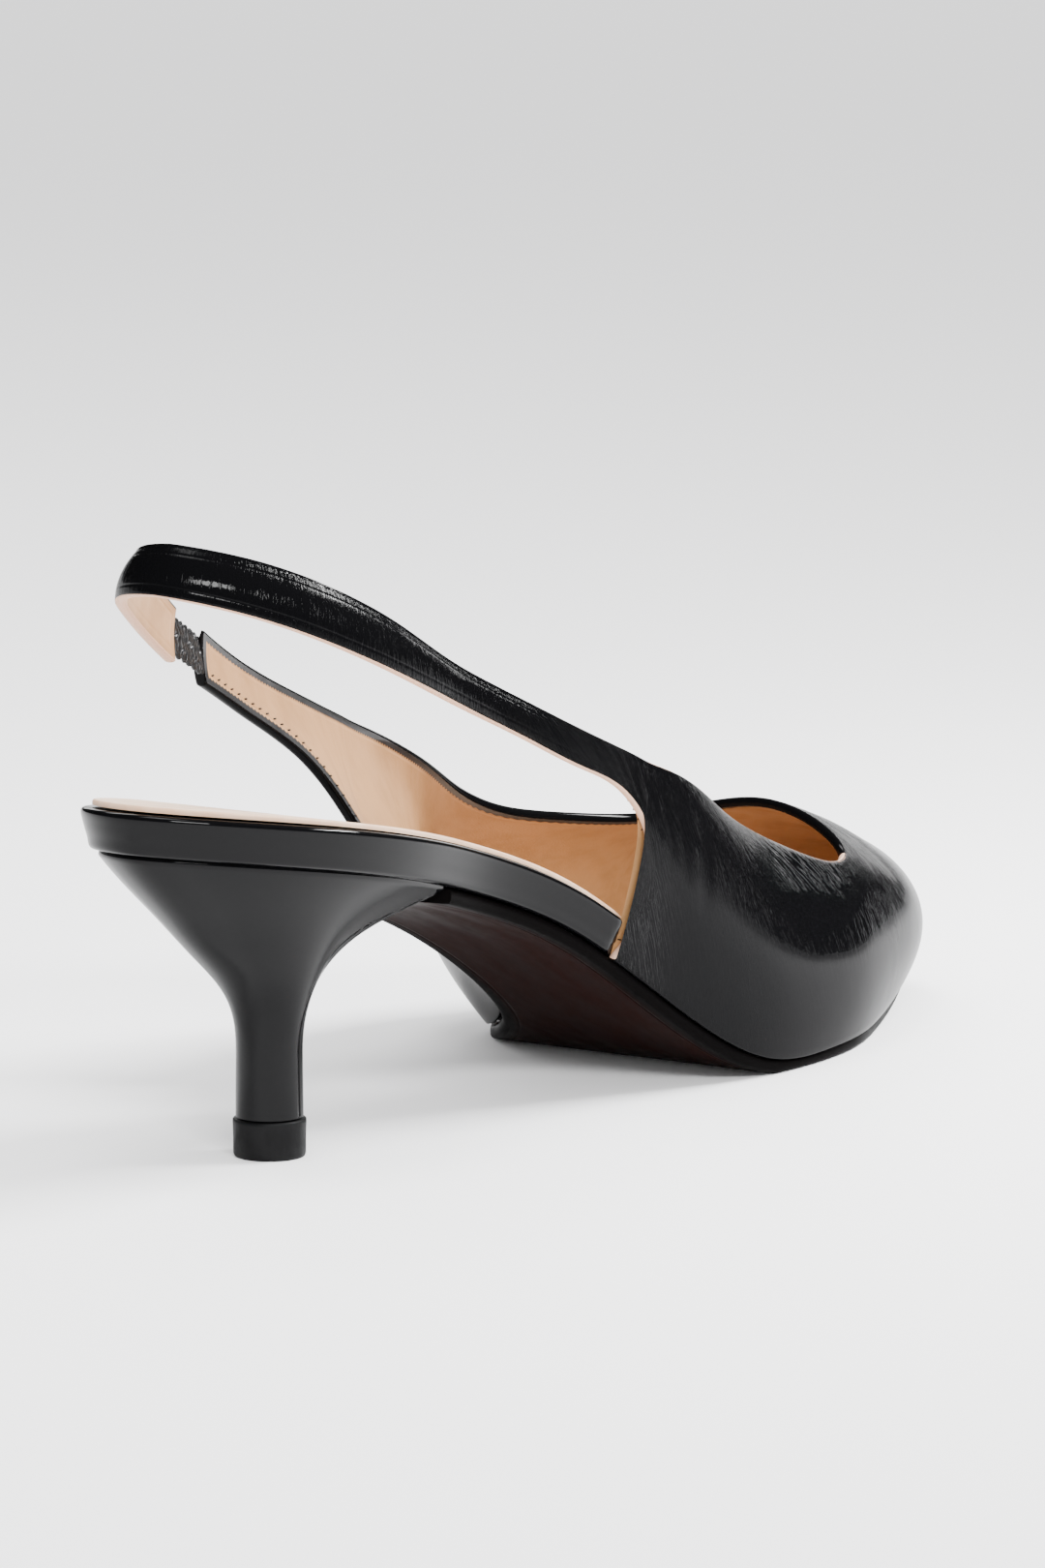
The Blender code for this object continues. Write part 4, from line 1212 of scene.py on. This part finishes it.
    def sheets(self) -> tuple[dict[Side, Strip], dict[Side, Strip]]:
        """The leather's sheets. Those over the toe run from its tip to the throat, with rows that lie closer
        together towards the tip.

        Returns:
            The sheets over the toe, and those behind them, by side.
        """
        front = float(self.last.share_at(-OUTER_VAMP[0][2]))
        share = 1.0 - (1.0 - front) * np.linspace(0.0, 1.0, self.toe_rows + 1) ** self.toe_crowding
        low, full = np.zeros_like(share), np.ones_like(share)
        caps = {side: self.strip(np.stack([side.value * share, low, side.value * share, full], axis=1))
                for side in Side}
        strips = {
            Side.OUTER: self.strip(self.places([OUTER_VAMP, SLING], [self.vamp_rows, self.sling_rows])),
            Side.INNER: self.strip(self.places([INNER_VAMP, INNER_TAIL], [self.vamp_rows, self.tail_rows])),
        }
        return caps, strips

    def faces(self, caps: dict[Side, Strip], strips: dict[Side, Strip], open_edge: Array) -> list[Patch]:
        """Outer and inner face of each sheet, with the marks that the leathers read: how strong the fine
        creases are, the distance from the open edge, where a seam runs along it, where it is cut raw, and
        where the patent leather is turned over it.

        Args:
            caps: The sheets over the toe.
            strips: The sheets behind them.
            open_edge: Points of the edge that isn't lasted under.

        Returns:
            Their patches.
        """
        patches = []
        for side in Side:
            for part, start_mm in ((caps[side], self.toe_pattern_mm), (strips[side], 0.0)):
                place = self.slanted(part, start_mm + self.inner_pattern_mm * (side is Side.INNER))
                row = np.arange(len(part.w))
                turned = (side is Side.INNER) | (part is caps[side]) | (row < self.turned_rows)
                raw = (1.0 - turned) * (1.0 - smooth_step(row / self.vamp_rows, *self.raw_until))
                raw = raw * (part is strips[Side.OUTER])
                marks = {
                    "crease": self.strength(part),
                    "rim_mm": self.nearest_mm(part.outer, open_edge),
                    "seam": 1.0 - smooth_step(self.last.along(self.last.edge(part.w)[0]), *self.seam_until),
                    "raw": raw[:, None] * smooth_step(part.rise, *self.raw_above),
                    "turned": turned[:, None] * 1.0,
                }
                patches.append(Patch(part.outer, place, Skin.PATENT, marks))
                patches.append(Patch(part.inner, place, Skin.LINING, marks))
        return patches

    def rim_faces(self, loop: dict[str, Array]) -> list[Patch]:
        """The rounded rim in sections: patent leather all over where that is turned over the edge, and
        elsewhere on its outermost steps alone, with the cut edge of the lining on the rest.

        Args:
            loop: The upper's closed edge.

        Returns:
            Its patches.
        """
        patches = []
        rim = self.rim(loop)
        rim = np.concatenate([rim, rim[:1]])
        along = np.linalg.norm(np.diff(rim[:, 0], axis=0, prepend=rim[:1, 0]), axis=1).cumsum() / MM
        over = np.linspace(0.0, 2.2, self.rim_steps + 1)
        place = np.stack(np.broadcast_arrays(along[:, None], over[None, :]), axis=2)
        start = self.toe_rows + self.vamp_rows
        strap = start + self.sling_rows
        throat = strap + self.columns + self.sling_rows
        front = throat + self.vamp_rows
        turned = np.arange(len(rim)) >= front - self.turned_rows
        # First and last place on the loop, and how many of the rim's steps the black leather covers.
        sections = ((0, start, self.rim_steps), (start, strap, self.black_steps),
                    (strap, throat, self.rim_steps), (throat, front - self.turned_rows, self.black_steps),
                    (front - self.turned_rows, len(rim) - 1, self.rim_steps))
        for first, last, black in sections:
            rows = slice(first, last + 1)
            marks = {"turned": turned[rows, None] * 1.0}
            patches.append(Patch(rim[rows, :black + 1], place[rows, :black + 1], Skin.PATENT, marks))
            if black < self.rim_steps:
                patches.append(Patch(rim[rows, black:], place[rows, black:], Skin.CUT_EDGE, marks))
        return patches

    def build(self) -> None:
        """Makes the leather wall and its seams."""
        caps, strips = self.sheets()
        loop = self.edge_loop(caps, strips)
        patches = self.faces(caps, strips, loop["outer"][~loop["feather"]]) + self.rim_faces(loop)
        make_piece("upper_leather", patches, [self.finishes.patent, self.finishes.lining, self.finishes.edge],
                   "upper")
        self.sew(strips)

    def seam(self, strip: Strip, inset_mm: float, at_top: bool,
             reach: tuple[float, float]) -> tuple[Array, Array, Array]:
        """A line on the lining beside one edge of a strip.

        Args:
            strip: The strip.
            inset_mm: Distance from the edge.
            at_top: Beside the top edge, or else the lower one.
            reach: Shares along the foot between which it runs.

        Returns:
            Points, the direction square to the surface, and the direction towards the edge.
        """
        grid, square = strip.inner, strip.square
        if at_top:
            grid, square = grid[:, ::-1], square[:, ::-1]
        run = np.linalg.norm(np.diff(grid, axis=1, prepend=grid[:, :1]), axis=2).cumsum(axis=1) / MM
        column = np.clip((run < inset_mm).sum(axis=1) - 1, 0, grid.shape[1] - 2)
        rows = np.arange(len(grid))
        before, after = run[rows, column], run[rows, column + 1]
        share = ((inset_mm - before) / (after - before))[:, None]
        path = grid[rows, column] * (1.0 - share) + grid[rows, column + 1] * share
        along = self.last.along(self.last.edge(strip.w[:, 0])[0])
        keep = (along > reach[0]) & (along < reach[1])
        return path[keep], -square[rows, column][keep], (grid[:, 0] - path)[keep]

    def sew(self, strips: dict[Side, Strip]) -> None:
        """Rows of stitches on the lining, beside the open edges where no leather is turned over them.

        Args:
            strips: The sheets behind the toe.
        """
        parts = []
        for side, inset_mm, strap_at in ((Side.OUTER, SEAM_INSET_MM, 0.34), (Side.INNER, 2.2, 0.0)):
            quarter = Strip(*(getattr(strips[side], name)[self.vamp_rows:]
                              for name in ("w", "rise", "outer", "inner", "square")))
            parts.append(self.seam(quarter, inset_mm, False, (strap_at, 1.0)))
        parts.append(self.seam(strips[Side.OUTER], SEAM_INSET_MM, True, (0.44, 0.72)))
        bodies = np.concatenate([self.stitches(*part, self.stitch_length, self.stitch_radius)
                                 for part in parts])
        make_piece("lining_stitches", [Patch(grid) for grid in bodies], [self.finishes.thread], "")


@dataclass
class Elastic:
    """Short gathered elastic on the inner side, tucked behind the sling's end and the inner tail."""

    last: Last
    finishes: Finishes
    thick: float = 0.0013
    tuck: float = 0.005
    # How far in rise each of its edges lies inside the sling's.
    narrower: float = 0.009
    fold_pitch: float = 0.00125
    fold_depth: float = 0.00042
    pucker: float = 0.0035
    # How deep it lies inside the leather's outer face: where it is tucked in, and how much more between.
    depth: float = 0.0002
    free_depth: float = 0.0005
    rows: int = 240
    columns: int = 32

    def build(self) -> None:
        """Makes the ribbon, from inside the sling's end to inside the inner tail. Cross folds run over it
        as |sin| ridges whose phase wanders across it, its long edges pucker as a sine along it, and it
        lies a little deeper where it is free."""
        tuck = self.tuck / self.last.length
        start = np.array(SLING[-1]) + np.array([-tuck, self.narrower, -tuck, -self.narrower])
        end = np.array(INNER_TAIL[-1]) + np.array([tuck, self.narrower, tuck, -self.narrower])
        share = np.linspace(0.0, 1.0, self.rows + 1)[:, None]
        rows = start * (1.0 - share) + end * share
        column = np.linspace(0.0, 1.0, self.columns + 1)[None, :]
        w = self.last.place(rows[:, 0:1]) * (1.0 - column) + self.last.place(rows[:, 2:3]) * column
        rise = rows[:, 1:2] * (1.0 - column) + rows[:, 3:4] * column
        length = self.last.length * (end[0] - start[0])
        run = share * length
        free = np.clip(np.minimum(run, length - run) / self.tuck - 1.0, 0.0, 1.0)
        depth = self.depth + self.free_depth * np.sin(free * math.pi / 2.0)
        square = self.last.outward(w, rise)
        wander = 0.35 * np.sin(column * 7.0 + run * 900.0) + 0.2 * np.sin(column * 17.0)
        ridge = np.abs(np.sin(math.pi * (run / self.fold_pitch + wander))) ** 0.8
        edge = np.sin(math.pi * column) ** 0.25
        folds = self.fold_depth * ridge * edge * (0.25 + 0.75 * (free > 0.0))
        pucker = self.pucker * np.sin(2.0 * math.pi * run / (1.9 * self.fold_pitch))
        middle = self.last.point(w, rise + pucker * (2.0 * column - 1.0))
        face = middle - (depth + self.fold_depth - folds)[..., None] * square
        back = middle - (depth + self.thick - self.fold_depth + folds)[..., None] * square
        marks = {"fold": ridge}
        sides = [np.stack([face[:, 0], back[:, 0]], axis=1), np.stack([face[:, -1], back[:, -1]], axis=1),
                 np.stack([face[0], back[0]], axis=1), np.stack([face[-1], back[-1]], axis=1)]
        patches = [Patch(face, None, 0, marks), Patch(back, None, 0, marks)] + [Patch(side) for side in sides]
        make_piece("heel_strap_elastic", patches, [self.finishes.elastic], "elastic")


def loop_places(count: int) -> Array:
    """Places round the last: along the outer side from the toe's tip to the heel and back again, closer
    together towards the toe.

    Args:
        count: Steps along each side.

    Returns:
        w at each place.
    """
    share = np.linspace(0.0, 1.0, count + 1)
    share = share * 0.92 + 0.08 * np.sin(share * math.pi / 2.0)
    return np.concatenate([-share[::-1], share[1:-1]])


def slab(rings: list[Array], marks: list[float], columns: int = 17) -> list[Patch]:
    """A slab from rings that run up its edge, closed by a sheet across its bottom and its top.

    Args:
        rings: Closed rings of points; a ring's first half lies on the outer side, front to back.
        marks: Distance from the rim in millimetres at each ring.
        columns: Points across the bottom and top.

    Returns:
        Its patches: the edge, the bottom and the top.
    """
    edge = np.stack(rings, axis=1)
    edge = np.concatenate([edge, edge[:1]])
    rim_mm = np.tile(np.array(marks, float), (len(edge), 1))
    patches = [Patch(edge, None, 0, {"rim_mm": rim_mm})]
    share = np.linspace(0.0, 1.0, columns)[None, :, None]
    half = len(rings[0]) // 2
    for ring in (rings[0], rings[-1]):
        outer, inner = ring[:half + 1], np.concatenate([ring[:1], ring[:half - 1:-1]])
        sheet = outer[:, None] * (1.0 - share) + inner[:, None] * share
        away = np.minimum(np.linalg.norm(sheet - outer[:, None], axis=2),
                          np.linalg.norm(sheet - inner[:, None], axis=2)) / MM
        patches.append(Patch(sheet, None, 0, {"rim_mm": away + marks[-1]}))
    return patches


@dataclass
class Footbed:
    """Insole board wrapped in patent leather, and the sock glued on it."""

    last: Last
    finishes: Finishes
    wall: float = 0.0017
    clearance: float = 0.0003
    thick: float = 0.0074
    thin: float = 0.0036
    sock_thick: float = 0.0009
    # Shares along the foot: where the board thins, where the upper begins to wrap it and how far that
    # place moves forwards up its edge, and where it gives way to the toe's closing walls.
    thins_along: tuple[float, float] = (0.50, 0.64)
    outer_wrap: tuple[float, float] = (0.4260, 0.010)
    inner_wrap: tuple[float, float] = (0.3970, 0.006)
    wrap_fade: float = 0.013
    toe_inset: float = 0.0022
    toe_from: float = 0.93
    toe_fade: float = 0.06
    # How far the board's covered edge and the sock's edge stand back, in metres.
    covered_draft: float = 0.0008
    sock_inset: float = 0.0004
    sock_covered_inset: float = 0.0006
    sock_rounding: float = 0.0004
    rows: int = 260
    edge_steps: int = 30

    def cover(self, along: Array, height: float) -> Array:
        """1 where the upper wraps the insole, 0 behind the quarters, whose cut edges slant forwards.

        Args:
            along: Share along the foot, with the side's sign.
            height: Share of the insole's thickness.

        Returns:
            How far the upper wraps it there.
        """
        start = np.where(along < 0, self.outer_wrap[0] + self.outer_wrap[1] * height,
                         self.inner_wrap[0] + self.inner_wrap[1] * height)
        return smooth_step(np.abs(along), start, start + self.wrap_fade)

    def thickness(self, x: Array) -> Array:
        """Thick at the seat and the waist, thin under the ball and the toes."""
        return self.thick + (self.thin - self.thick) * smooth_step(self.last.along(x), *self.thins_along)

    def toe_room(self, along: Array) -> Array:
        """Extra inset near the toe's tip, where the upper closes down over the insole."""
        return self.toe_inset * np.clip((np.abs(along) - self.toe_from) / self.toe_fade, 0.0, 1.0) ** 2

    def build(self) -> None:
        """Makes the wrapped board and the sock."""
        w = loop_places(self.rows)
        x, _ = self.last.edge(w)
        along = self.last.along(x) * np.where(w < 0, -1.0, 1.0)
        thick = self.thickness(x)
        # Edge of the board from below: height as a share of its thickness, and how far it stands out.
        table = np.array((
            (0.00, -0.15), (0.02, -0.07), (0.06, 0.00), (0.25, 0.06), (0.50, 0.125),
            (0.72, 0.18), (0.86, 0.21), (0.94, 0.20), (0.985, 0.15), (1.00, 0.05),
        ))
        run = np.concatenate([[0.0], np.cumsum(np.hypot(np.diff(table[:, 0]), np.diff(table[:, 1])))])
        fine = np.linspace(0.0, run[-1], self.edge_steps + 1)
        rings = []
        for height, out in zip(curve(run, table[:, 0], fine), curve(run, table[:, 1], fine)):
            hidden = self.cover(along, height)
            covered = self.wall + self.clearance - self.covered_draft * height + max(-out, 0.0) * self.thick
            inset = covered * hidden + self.toe_room(along) - out * self.thick * (1.0 - hidden)
            ring_x, ring_y = self.last.inset_edge(w, inset)
            rings.append(np.stack([ring_x, ring_y, self.last.underside(x) + height * thick], axis=1))
        patches = slab(rings, [NO_SEAM_MM] * len(rings))
        make_piece("insole_cover", patches, [self.finishes.smooth_patent], "covered_insole")
        inset = self.sock_inset + self.sock_covered_inset * self.cover(along, 1.0) + self.toe_room(along)
        base = self.last.underside(x) + thick + self.clearance
        # The sock's edge goes straight up to 0.45 of its thickness, then round a quarter turn.
        rounding = [(0.45 + 0.55 * math.sin(turn), self.sock_rounding * (1.0 - math.cos(turn)))
                    for turn in np.linspace(0.0, math.pi / 2.0, 7)]
        rings, marks = [], []
        for height, extra in [(0.0, 0.0)] + rounding:
            ring_x, ring_y = self.last.inset_edge(w, inset + extra)
            rings.append(np.stack([ring_x, ring_y, base + height * self.sock_thick], axis=1))
            marks.append(extra / MM)
        make_piece("sock_leather", slab(rings, marks, 33), [self.finishes.sock], "sock")


@dataclass
class Outsole:
    """Thin leather sole from the heel's breast to the toe, with a rounded edge."""

    last: Last
    finishes: Finishes
    clearance: float = 0.0003
    thick: float = 0.0022
    inset: float = 0.0008
    pressed: float = 0.0004
    # Where the sole begins, as a share along the foot, how far its rear bows back, and over what share.
    breast_along: float = 0.258
    breast_bow: float = 0.0025
    bow_reach: float = 0.05
    rim_start_mm: float = 1.3
    rows: int = 260
    columns: int = 40

    def bottom(self, x: Array) -> Array:
        """Height of the sole's underside; it is pressed flat on the floor under the ball."""
        return np.maximum(self.last.underside(x) - self.clearance - self.thick - self.pressed, 0.0)

    def build(self) -> None:
        """Makes the sole: for each share along the foot, an outer and an inner edge profile and the
        sheets between them. Its rear is bowed back as a sine, so that it meets the heel's breast."""
        back = float(self.last.share_at(self.breast_along))
        share = np.linspace(0.0, 1.0, self.rows + 1)
        share = back + (1.0 - back) * (0.8 * share + 0.2 * np.sin(share * math.pi / 2.0))
        share[-1] = 1.0
        x, _ = self.last.edge(share)
        low, high = self.bottom(x), self.last.underside(x) - self.clearance
        # Edge profile from below: height as a share of the thickness, and inset in millimetres.
        profile = ((0.00, 1.30), (0.03, 0.75), (0.12, 0.28), (0.30, 0.04), (0.55, 0.0), (0.80, 0.04),
                   (0.95, 0.2), (1.0, 0.5))
        lines = {side: [] for side in Side}
        for height, extra in profile:
            for side in Side:
                edge_x, edge_y = self.last.inset_edge(side.value * share, self.inset + extra * MM)
                lines[side].append(np.stack([edge_x, edge_y, low * (1.0 - height) + high * height], axis=1))
        patches = [Patch(np.stack(lines[side], axis=1)) for side in Side]
        blend = np.linspace(0.0, 1.0, self.columns + 1)[None, :, None]
        near = 1.0 - smooth_step(self.last.along(x), self.breast_along, self.breast_along + self.bow_reach)
        bow = near[:, None] * self.breast_bow * np.sin(blend[..., 0] * math.pi)
        for level in (0, -1):
            outer, inner = lines[Side.OUTER][level], lines[Side.INNER][level]
            sheet = outer[:, None] * (1.0 - blend) + inner[:, None] * blend
            away = np.minimum(np.linalg.norm(sheet - outer[:, None], axis=2),
                              np.linalg.norm(sheet - inner[:, None], axis=2)) / MM
            sheet[..., 0] -= bow
            patches.append(Patch(sheet, None, 0, {"rim_mm": away + self.rim_start_mm}))
        rear = [np.stack([lines[Side.OUTER][k][0], lines[Side.INNER][k][0]]) for k in range(len(profile))]
        rear = np.stack(rear, axis=1)
        across = np.linspace(0.0, 1.0, self.columns + 1)[:, None, None]
        rear = rear[0][None] * (1.0 - across) + rear[1][None] * across
        rear[..., 0] -= bow[0][:, None]
        patches.append(Patch(rear))
        make_piece("sole_leather", patches, [self.finishes.sole], "outsole")


@dataclass
class Heel:
    """Kitten heel wrapped in patent leather, standing on a rubber tip."""

    last: Last
    finishes: Finishes
    clearance: float = 0.0003
    stem_radius: float = 0.0057
    tip_radius: float = 0.0062
    tip_height: float = 0.0066
    breast_along: float = 0.258
    seat_inset: float = 0.0006
    breast_bow: float = 0.0025
    # Where the angle round the stem is taken from, and how the wall tucks in right under the seat: the
    # share that it loses, and the rise from which it does.
    centre_x: float = 0.004
    top_tuck: float = 0.05
    tuck_from: float = 0.975
    steps: int = 160
    rises: int = 120

    def outline(self) -> tuple[Array, Array, int]:
        """Outline of the block's top: the seat's edge from the breast round the back, then the breast itself,
        bowed backwards as a sine.

        Returns:
            x and y of its points, and how many lie on each side, the middle of the back in both counts.
        """
        corner = float(self.last.share_at(self.breast_along))
        side_rows = int(self.steps * 0.8) // 2
        breast_rows = self.steps - 2 * side_rows
        outer = -corner * (1.0 - np.linspace(0.0, 1.0, side_rows + 1))
        seat_x, seat_y = self.last.inset_edge(np.concatenate([outer, -outer[-2::-1]]), self.seat_inset)
        part = np.linspace(0.0, 1.0, breast_rows + 1)[1:-1]
        breast_x = seat_x[0] - self.breast_bow * np.sin(part * math.pi)
        breast_y = seat_y[-1] + (seat_y[0] - seat_y[-1]) * part
        return np.concatenate([seat_x, breast_x]), np.concatenate([seat_y, breast_y]), side_rows + 1

    @staticmethod
    def cover_seam(grid: Array, angle: Array, rise: Array) -> dict[str, Array | float]:
        """Marks for the seam where the breast's cover ends. Its distance is counted on from a stitch line's
        own, so that the patent leather draws its groove there.

        Args:
            grid: The block's points, its first column once more at its end.
            angle: Angle round the stem at each column, 0 towards the toe.
            rise: Share of the block's height at each row.

        Returns:
            The marks of the block's wall.
        """
        # Where the cover ends on each side: rise, and angle round the stem.
        seam = np.array(((0.0, 1.46), (0.35, 1.44), (0.60, 1.20), (0.80, 0.90), (1.0, abs(angle[0]))))
        turned = np.abs(np.append(angle, angle[0]))[:, None] - curve(seam[:, 0], seam[:, 1], rise)
        off_seam = np.abs(turned) * np.hypot(grid[..., 0], grid[..., 1]) / MM
        return {"rim_mm": SEAM_INSET_MM + off_seam, "seam": 1.0}

    def block(self) -> None:
        """Makes the block: each height blends the round stem with the seat's outline, its back and its
        breast at their own pace."""
        top_x, top_y, count = self.outline()
        top_z = self.last.underside(top_x) + 0.5 * self.clearance
        angle = np.arctan2(top_y, top_x - self.centre_x)
        front = (1.0 + np.cos(angle)) / 2.0
        # Share of the way from the stem to the seat: rise, at the back, at the breast.
        table = np.array((
            (0.00, 0.004, 0.004), (0.12, 0.002, 0.002), (0.25, 0.000, 0.000), (0.35, 0.020, 0.000),
            (0.46, 0.120, 0.012), (0.60, 0.360, 0.060), (0.73, 0.580, 0.190), (0.86, 0.800, 0.480),
            (0.94, 0.920, 0.770), (1.00, 1.000, 1.000),
        ))
        rise = np.linspace(0.0, 1.0, self.rises + 1)[None, :]
        open_up = (curve(table[:, 0], table[:, 1], rise) * (1.0 - front[:, None])
                   + curve(table[:, 0], table[:, 2], rise) * front[:, None])
        tucked = np.clip((rise - self.tuck_from) / (1.0 - self.tuck_from), 0.0, 1.0) ** 2
        open_up = open_up * (1.0 - self.top_tuck * tucked)
        foot = self.tip_height + self.clearance
        stem_x, stem_y = self.stem_radius * np.cos(angle), self.stem_radius * np.sin(angle)
        grid = np.stack([stem_x[:, None] + (top_x - stem_x)[:, None] * open_up,
                         stem_y[:, None] + (top_y - stem_y)[:, None] * open_up,
                         foot + (top_z[:, None] - foot) * rise], axis=2)
        grid = np.concatenate([grid, grid[:1]])
        top = grid[:-1, -1]
        outer_line, inner_line = top[:count], top[2 * count - 2:count - 2:-1]
        share = np.linspace(0.0, 1.0, 9)[None, :, None]
        lid = outer_line[:, None] * (1.0 - share) + inner_line[:, None] * share
        centre = np.array([[0.0, 0.0, foot]])
        base = grid[:, 0][:, None] * (1.0 - share[:, ::4]) + centre[:, None] * share[:, ::4]
        patches = [Patch(grid, None, 0, self.cover_seam(grid, angle, rise))]
        patches += [Patch(sheet, None, 0, {"rim_mm": NO_SEAM_MM}) for sheet in (base, lid)]
        make_piece("heel_cover", patches, [self.finishes.smooth_patent], "heel")

    def tip(self) -> None:
        """Makes the rubber tip, turned from a profile with a small lip on its top."""
        turn = np.linspace(0.0, 2.0 * math.pi, 97)[:, None]
        # Profile from the middle of the underside: height and radius as shares.
        profile = np.array(((0.0, 0.0), (0.0, 0.55), (0.0, 0.93), (0.03, 0.975), (0.09, 1.0), (0.45, 1.0),
                            (0.78, 1.008), (0.90, 1.015), (0.97, 1.01), (1.0, 0.98), (1.0, 0.6), (1.0, 0.0)))
        radius, height = self.tip_radius * profile[None, :, 1], self.tip_height * profile[None, :, 0]
        grid = np.stack([radius * np.cos(turn), radius * np.sin(turn), height + 0.0 * turn], axis=2)
        make_piece("heel_tip", [Patch(grid)], [self.finishes.rubber], "top_lift")

    def build(self) -> None:
        """Makes the block and its tip."""
        self.block()
        self.tip()


@dataclass(frozen=True)
class Lamp:
    """One soft box that points at the shoe."""

    name: str
    place: tuple[float, float, float]
    size: tuple[float, float]
    watts: float


@dataclass
class Studio:
    """Pale floor, soft light, and the camera."""

    eye: tuple[float, float, float] = (-1.340, -0.935, 0.3224)
    aim: tuple[float, float, float] = (0.078, 0.000, 0.0535)
    lens: float = 225.0
    sensor_width: float = 36.0
    clip: tuple[float, float] = (0.05, 60.0)
    floor_colour: str = "#f6f6f7"
    floor_reach: float = 7.0
    air_light: float = 1.48
    glossy_air: float = 0.02
    lamps: tuple[Lamp, ...] = (
        Lamp("strap box", (0.36, -0.24, 0.42), (0.28, 0.06), 8.5),
        Lamp("front box", (-0.73, -0.78, 0.74), (0.50, 0.14), 18.0),
        Lamp("back box", (0.55, 0.75, 0.85), (0.5, 0.25), 4.0),
        Lamp("top box", (-0.10, 0.05, 1.30), (0.50, 0.50), 9.0),
        Lamp("far box", (5.30, 2.90, 1.30), (4.0, 2.0), 110.0),
    )

    def floor(self) -> None:
        """A sheet that runs flat far beyond the frame: matt painted board, which shows soft shadows and
        has no gloss."""
        ahead = unit(np.array([self.aim[0] - self.eye[0], self.aim[1] - self.eye[1], 0.0]))
        right = np.array([ahead[1], -ahead[0], 0.0])
        run = np.linspace(-self.floor_reach, self.floor_reach, 9)
        across = np.linspace(-self.floor_reach, self.floor_reach, 3)
        points = run[:, None, None] * ahead + across[None, :, None] * right
        numbers = np.arange(points.shape[0] * 3).reshape(-1, 3)
        quads = np.stack([numbers[:-1, :-1], numbers[:-1, 1:], numbers[1:, 1:], numbers[1:, :-1]], axis=-1)
        mesh = bpy.data.meshes.new("floor")
        mesh.from_pydata(points.reshape(-1, 3).tolist(), [], quads.reshape(-1, 4).tolist())
        mesh.shade_smooth()
        mesh.materials.append(Shader("pale floor", self.floor_colour, 0.9,
                                     **{"Specular IOR Level": 0.0}).material)
        floor = bpy.data.objects.new("floor", mesh)
        bpy.context.scene.collection.objects.link(floor)

    def point(self, name: str, data: bpy.types.ID, place: tuple[float, float, float]) -> bpy.types.Object:
        """Puts a lamp or a camera in its place and points it at the shoe.

        Args:
            name: Name of the object.
            data: The lamp or the camera.
            place: Where it stands.

        Returns:
            The object.
        """
        thing = bpy.data.objects.new(name, data)
        thing.location = place
        thing.rotation_euler = (Vector(self.aim) - Vector(place)).to_track_quat("-Z", "Y").to_euler()
        bpy.context.scene.collection.objects.link(thing)
        return thing

    def air(self) -> None:
        """Even light from all round for matte surfaces, and a dark room in what is glossy."""
        world = bpy.data.worlds.new("studio")
        bpy.context.scene.world = world
        world.use_nodes = True
        tree = world.node_tree
        bright = tree.nodes["Background"]
        bright.inputs["Color"].default_value = (1.0, 1.0, 1.0, 1.0)
        bright.inputs["Strength"].default_value = self.air_light
        dark = tree.nodes.new("ShaderNodeBackground")
        dark.inputs["Color"].default_value = (1.0, 1.0, 1.0, 1.0)
        dark.inputs["Strength"].default_value = self.glossy_air
        ray = tree.nodes.new("ShaderNodeLightPath")
        mix = tree.nodes.new("ShaderNodeMixShader")
        tree.links.new(ray.outputs["Is Glossy Ray"], mix.inputs[0])
        tree.links.new(bright.outputs[0], mix.inputs[1])
        tree.links.new(dark.outputs[0], mix.inputs[2])
        tree.links.new(mix.outputs[0], tree.nodes["World Output"].inputs["Surface"])

    def build(self) -> None:
        """Makes the floor, the lights and the camera."""
        self.floor()
        self.air()
        for lamp in self.lamps:
            light = bpy.data.lights.new(lamp.name, "AREA")
            light.shape, light.energy = "RECTANGLE", lamp.watts
            light.size, light.size_y = lamp.size
            self.point(lamp.name, light, lamp.place)
        data = bpy.data.cameras.new("camera")
        data.lens, data.sensor_width = self.lens, self.sensor_width
        data.clip_start, data.clip_end = self.clip
        bpy.context.scene.camera = self.point("camera", data, self.eye)


def main() -> None:
    """Builds the studio and the shoe from the ground up."""
    logging.basicConfig(level=logging.INFO, format="%(name)s: %(message)s")
    last, finishes = Last(), Finishes.make()
    Studio().build()
    Heel(last, finishes).build()
    Outsole(last, finishes).build()
    Footbed(last, finishes).build()
    Upper(last, finishes).build()
    Elastic(last, finishes).build()


if __name__ == "__main__":
    main()
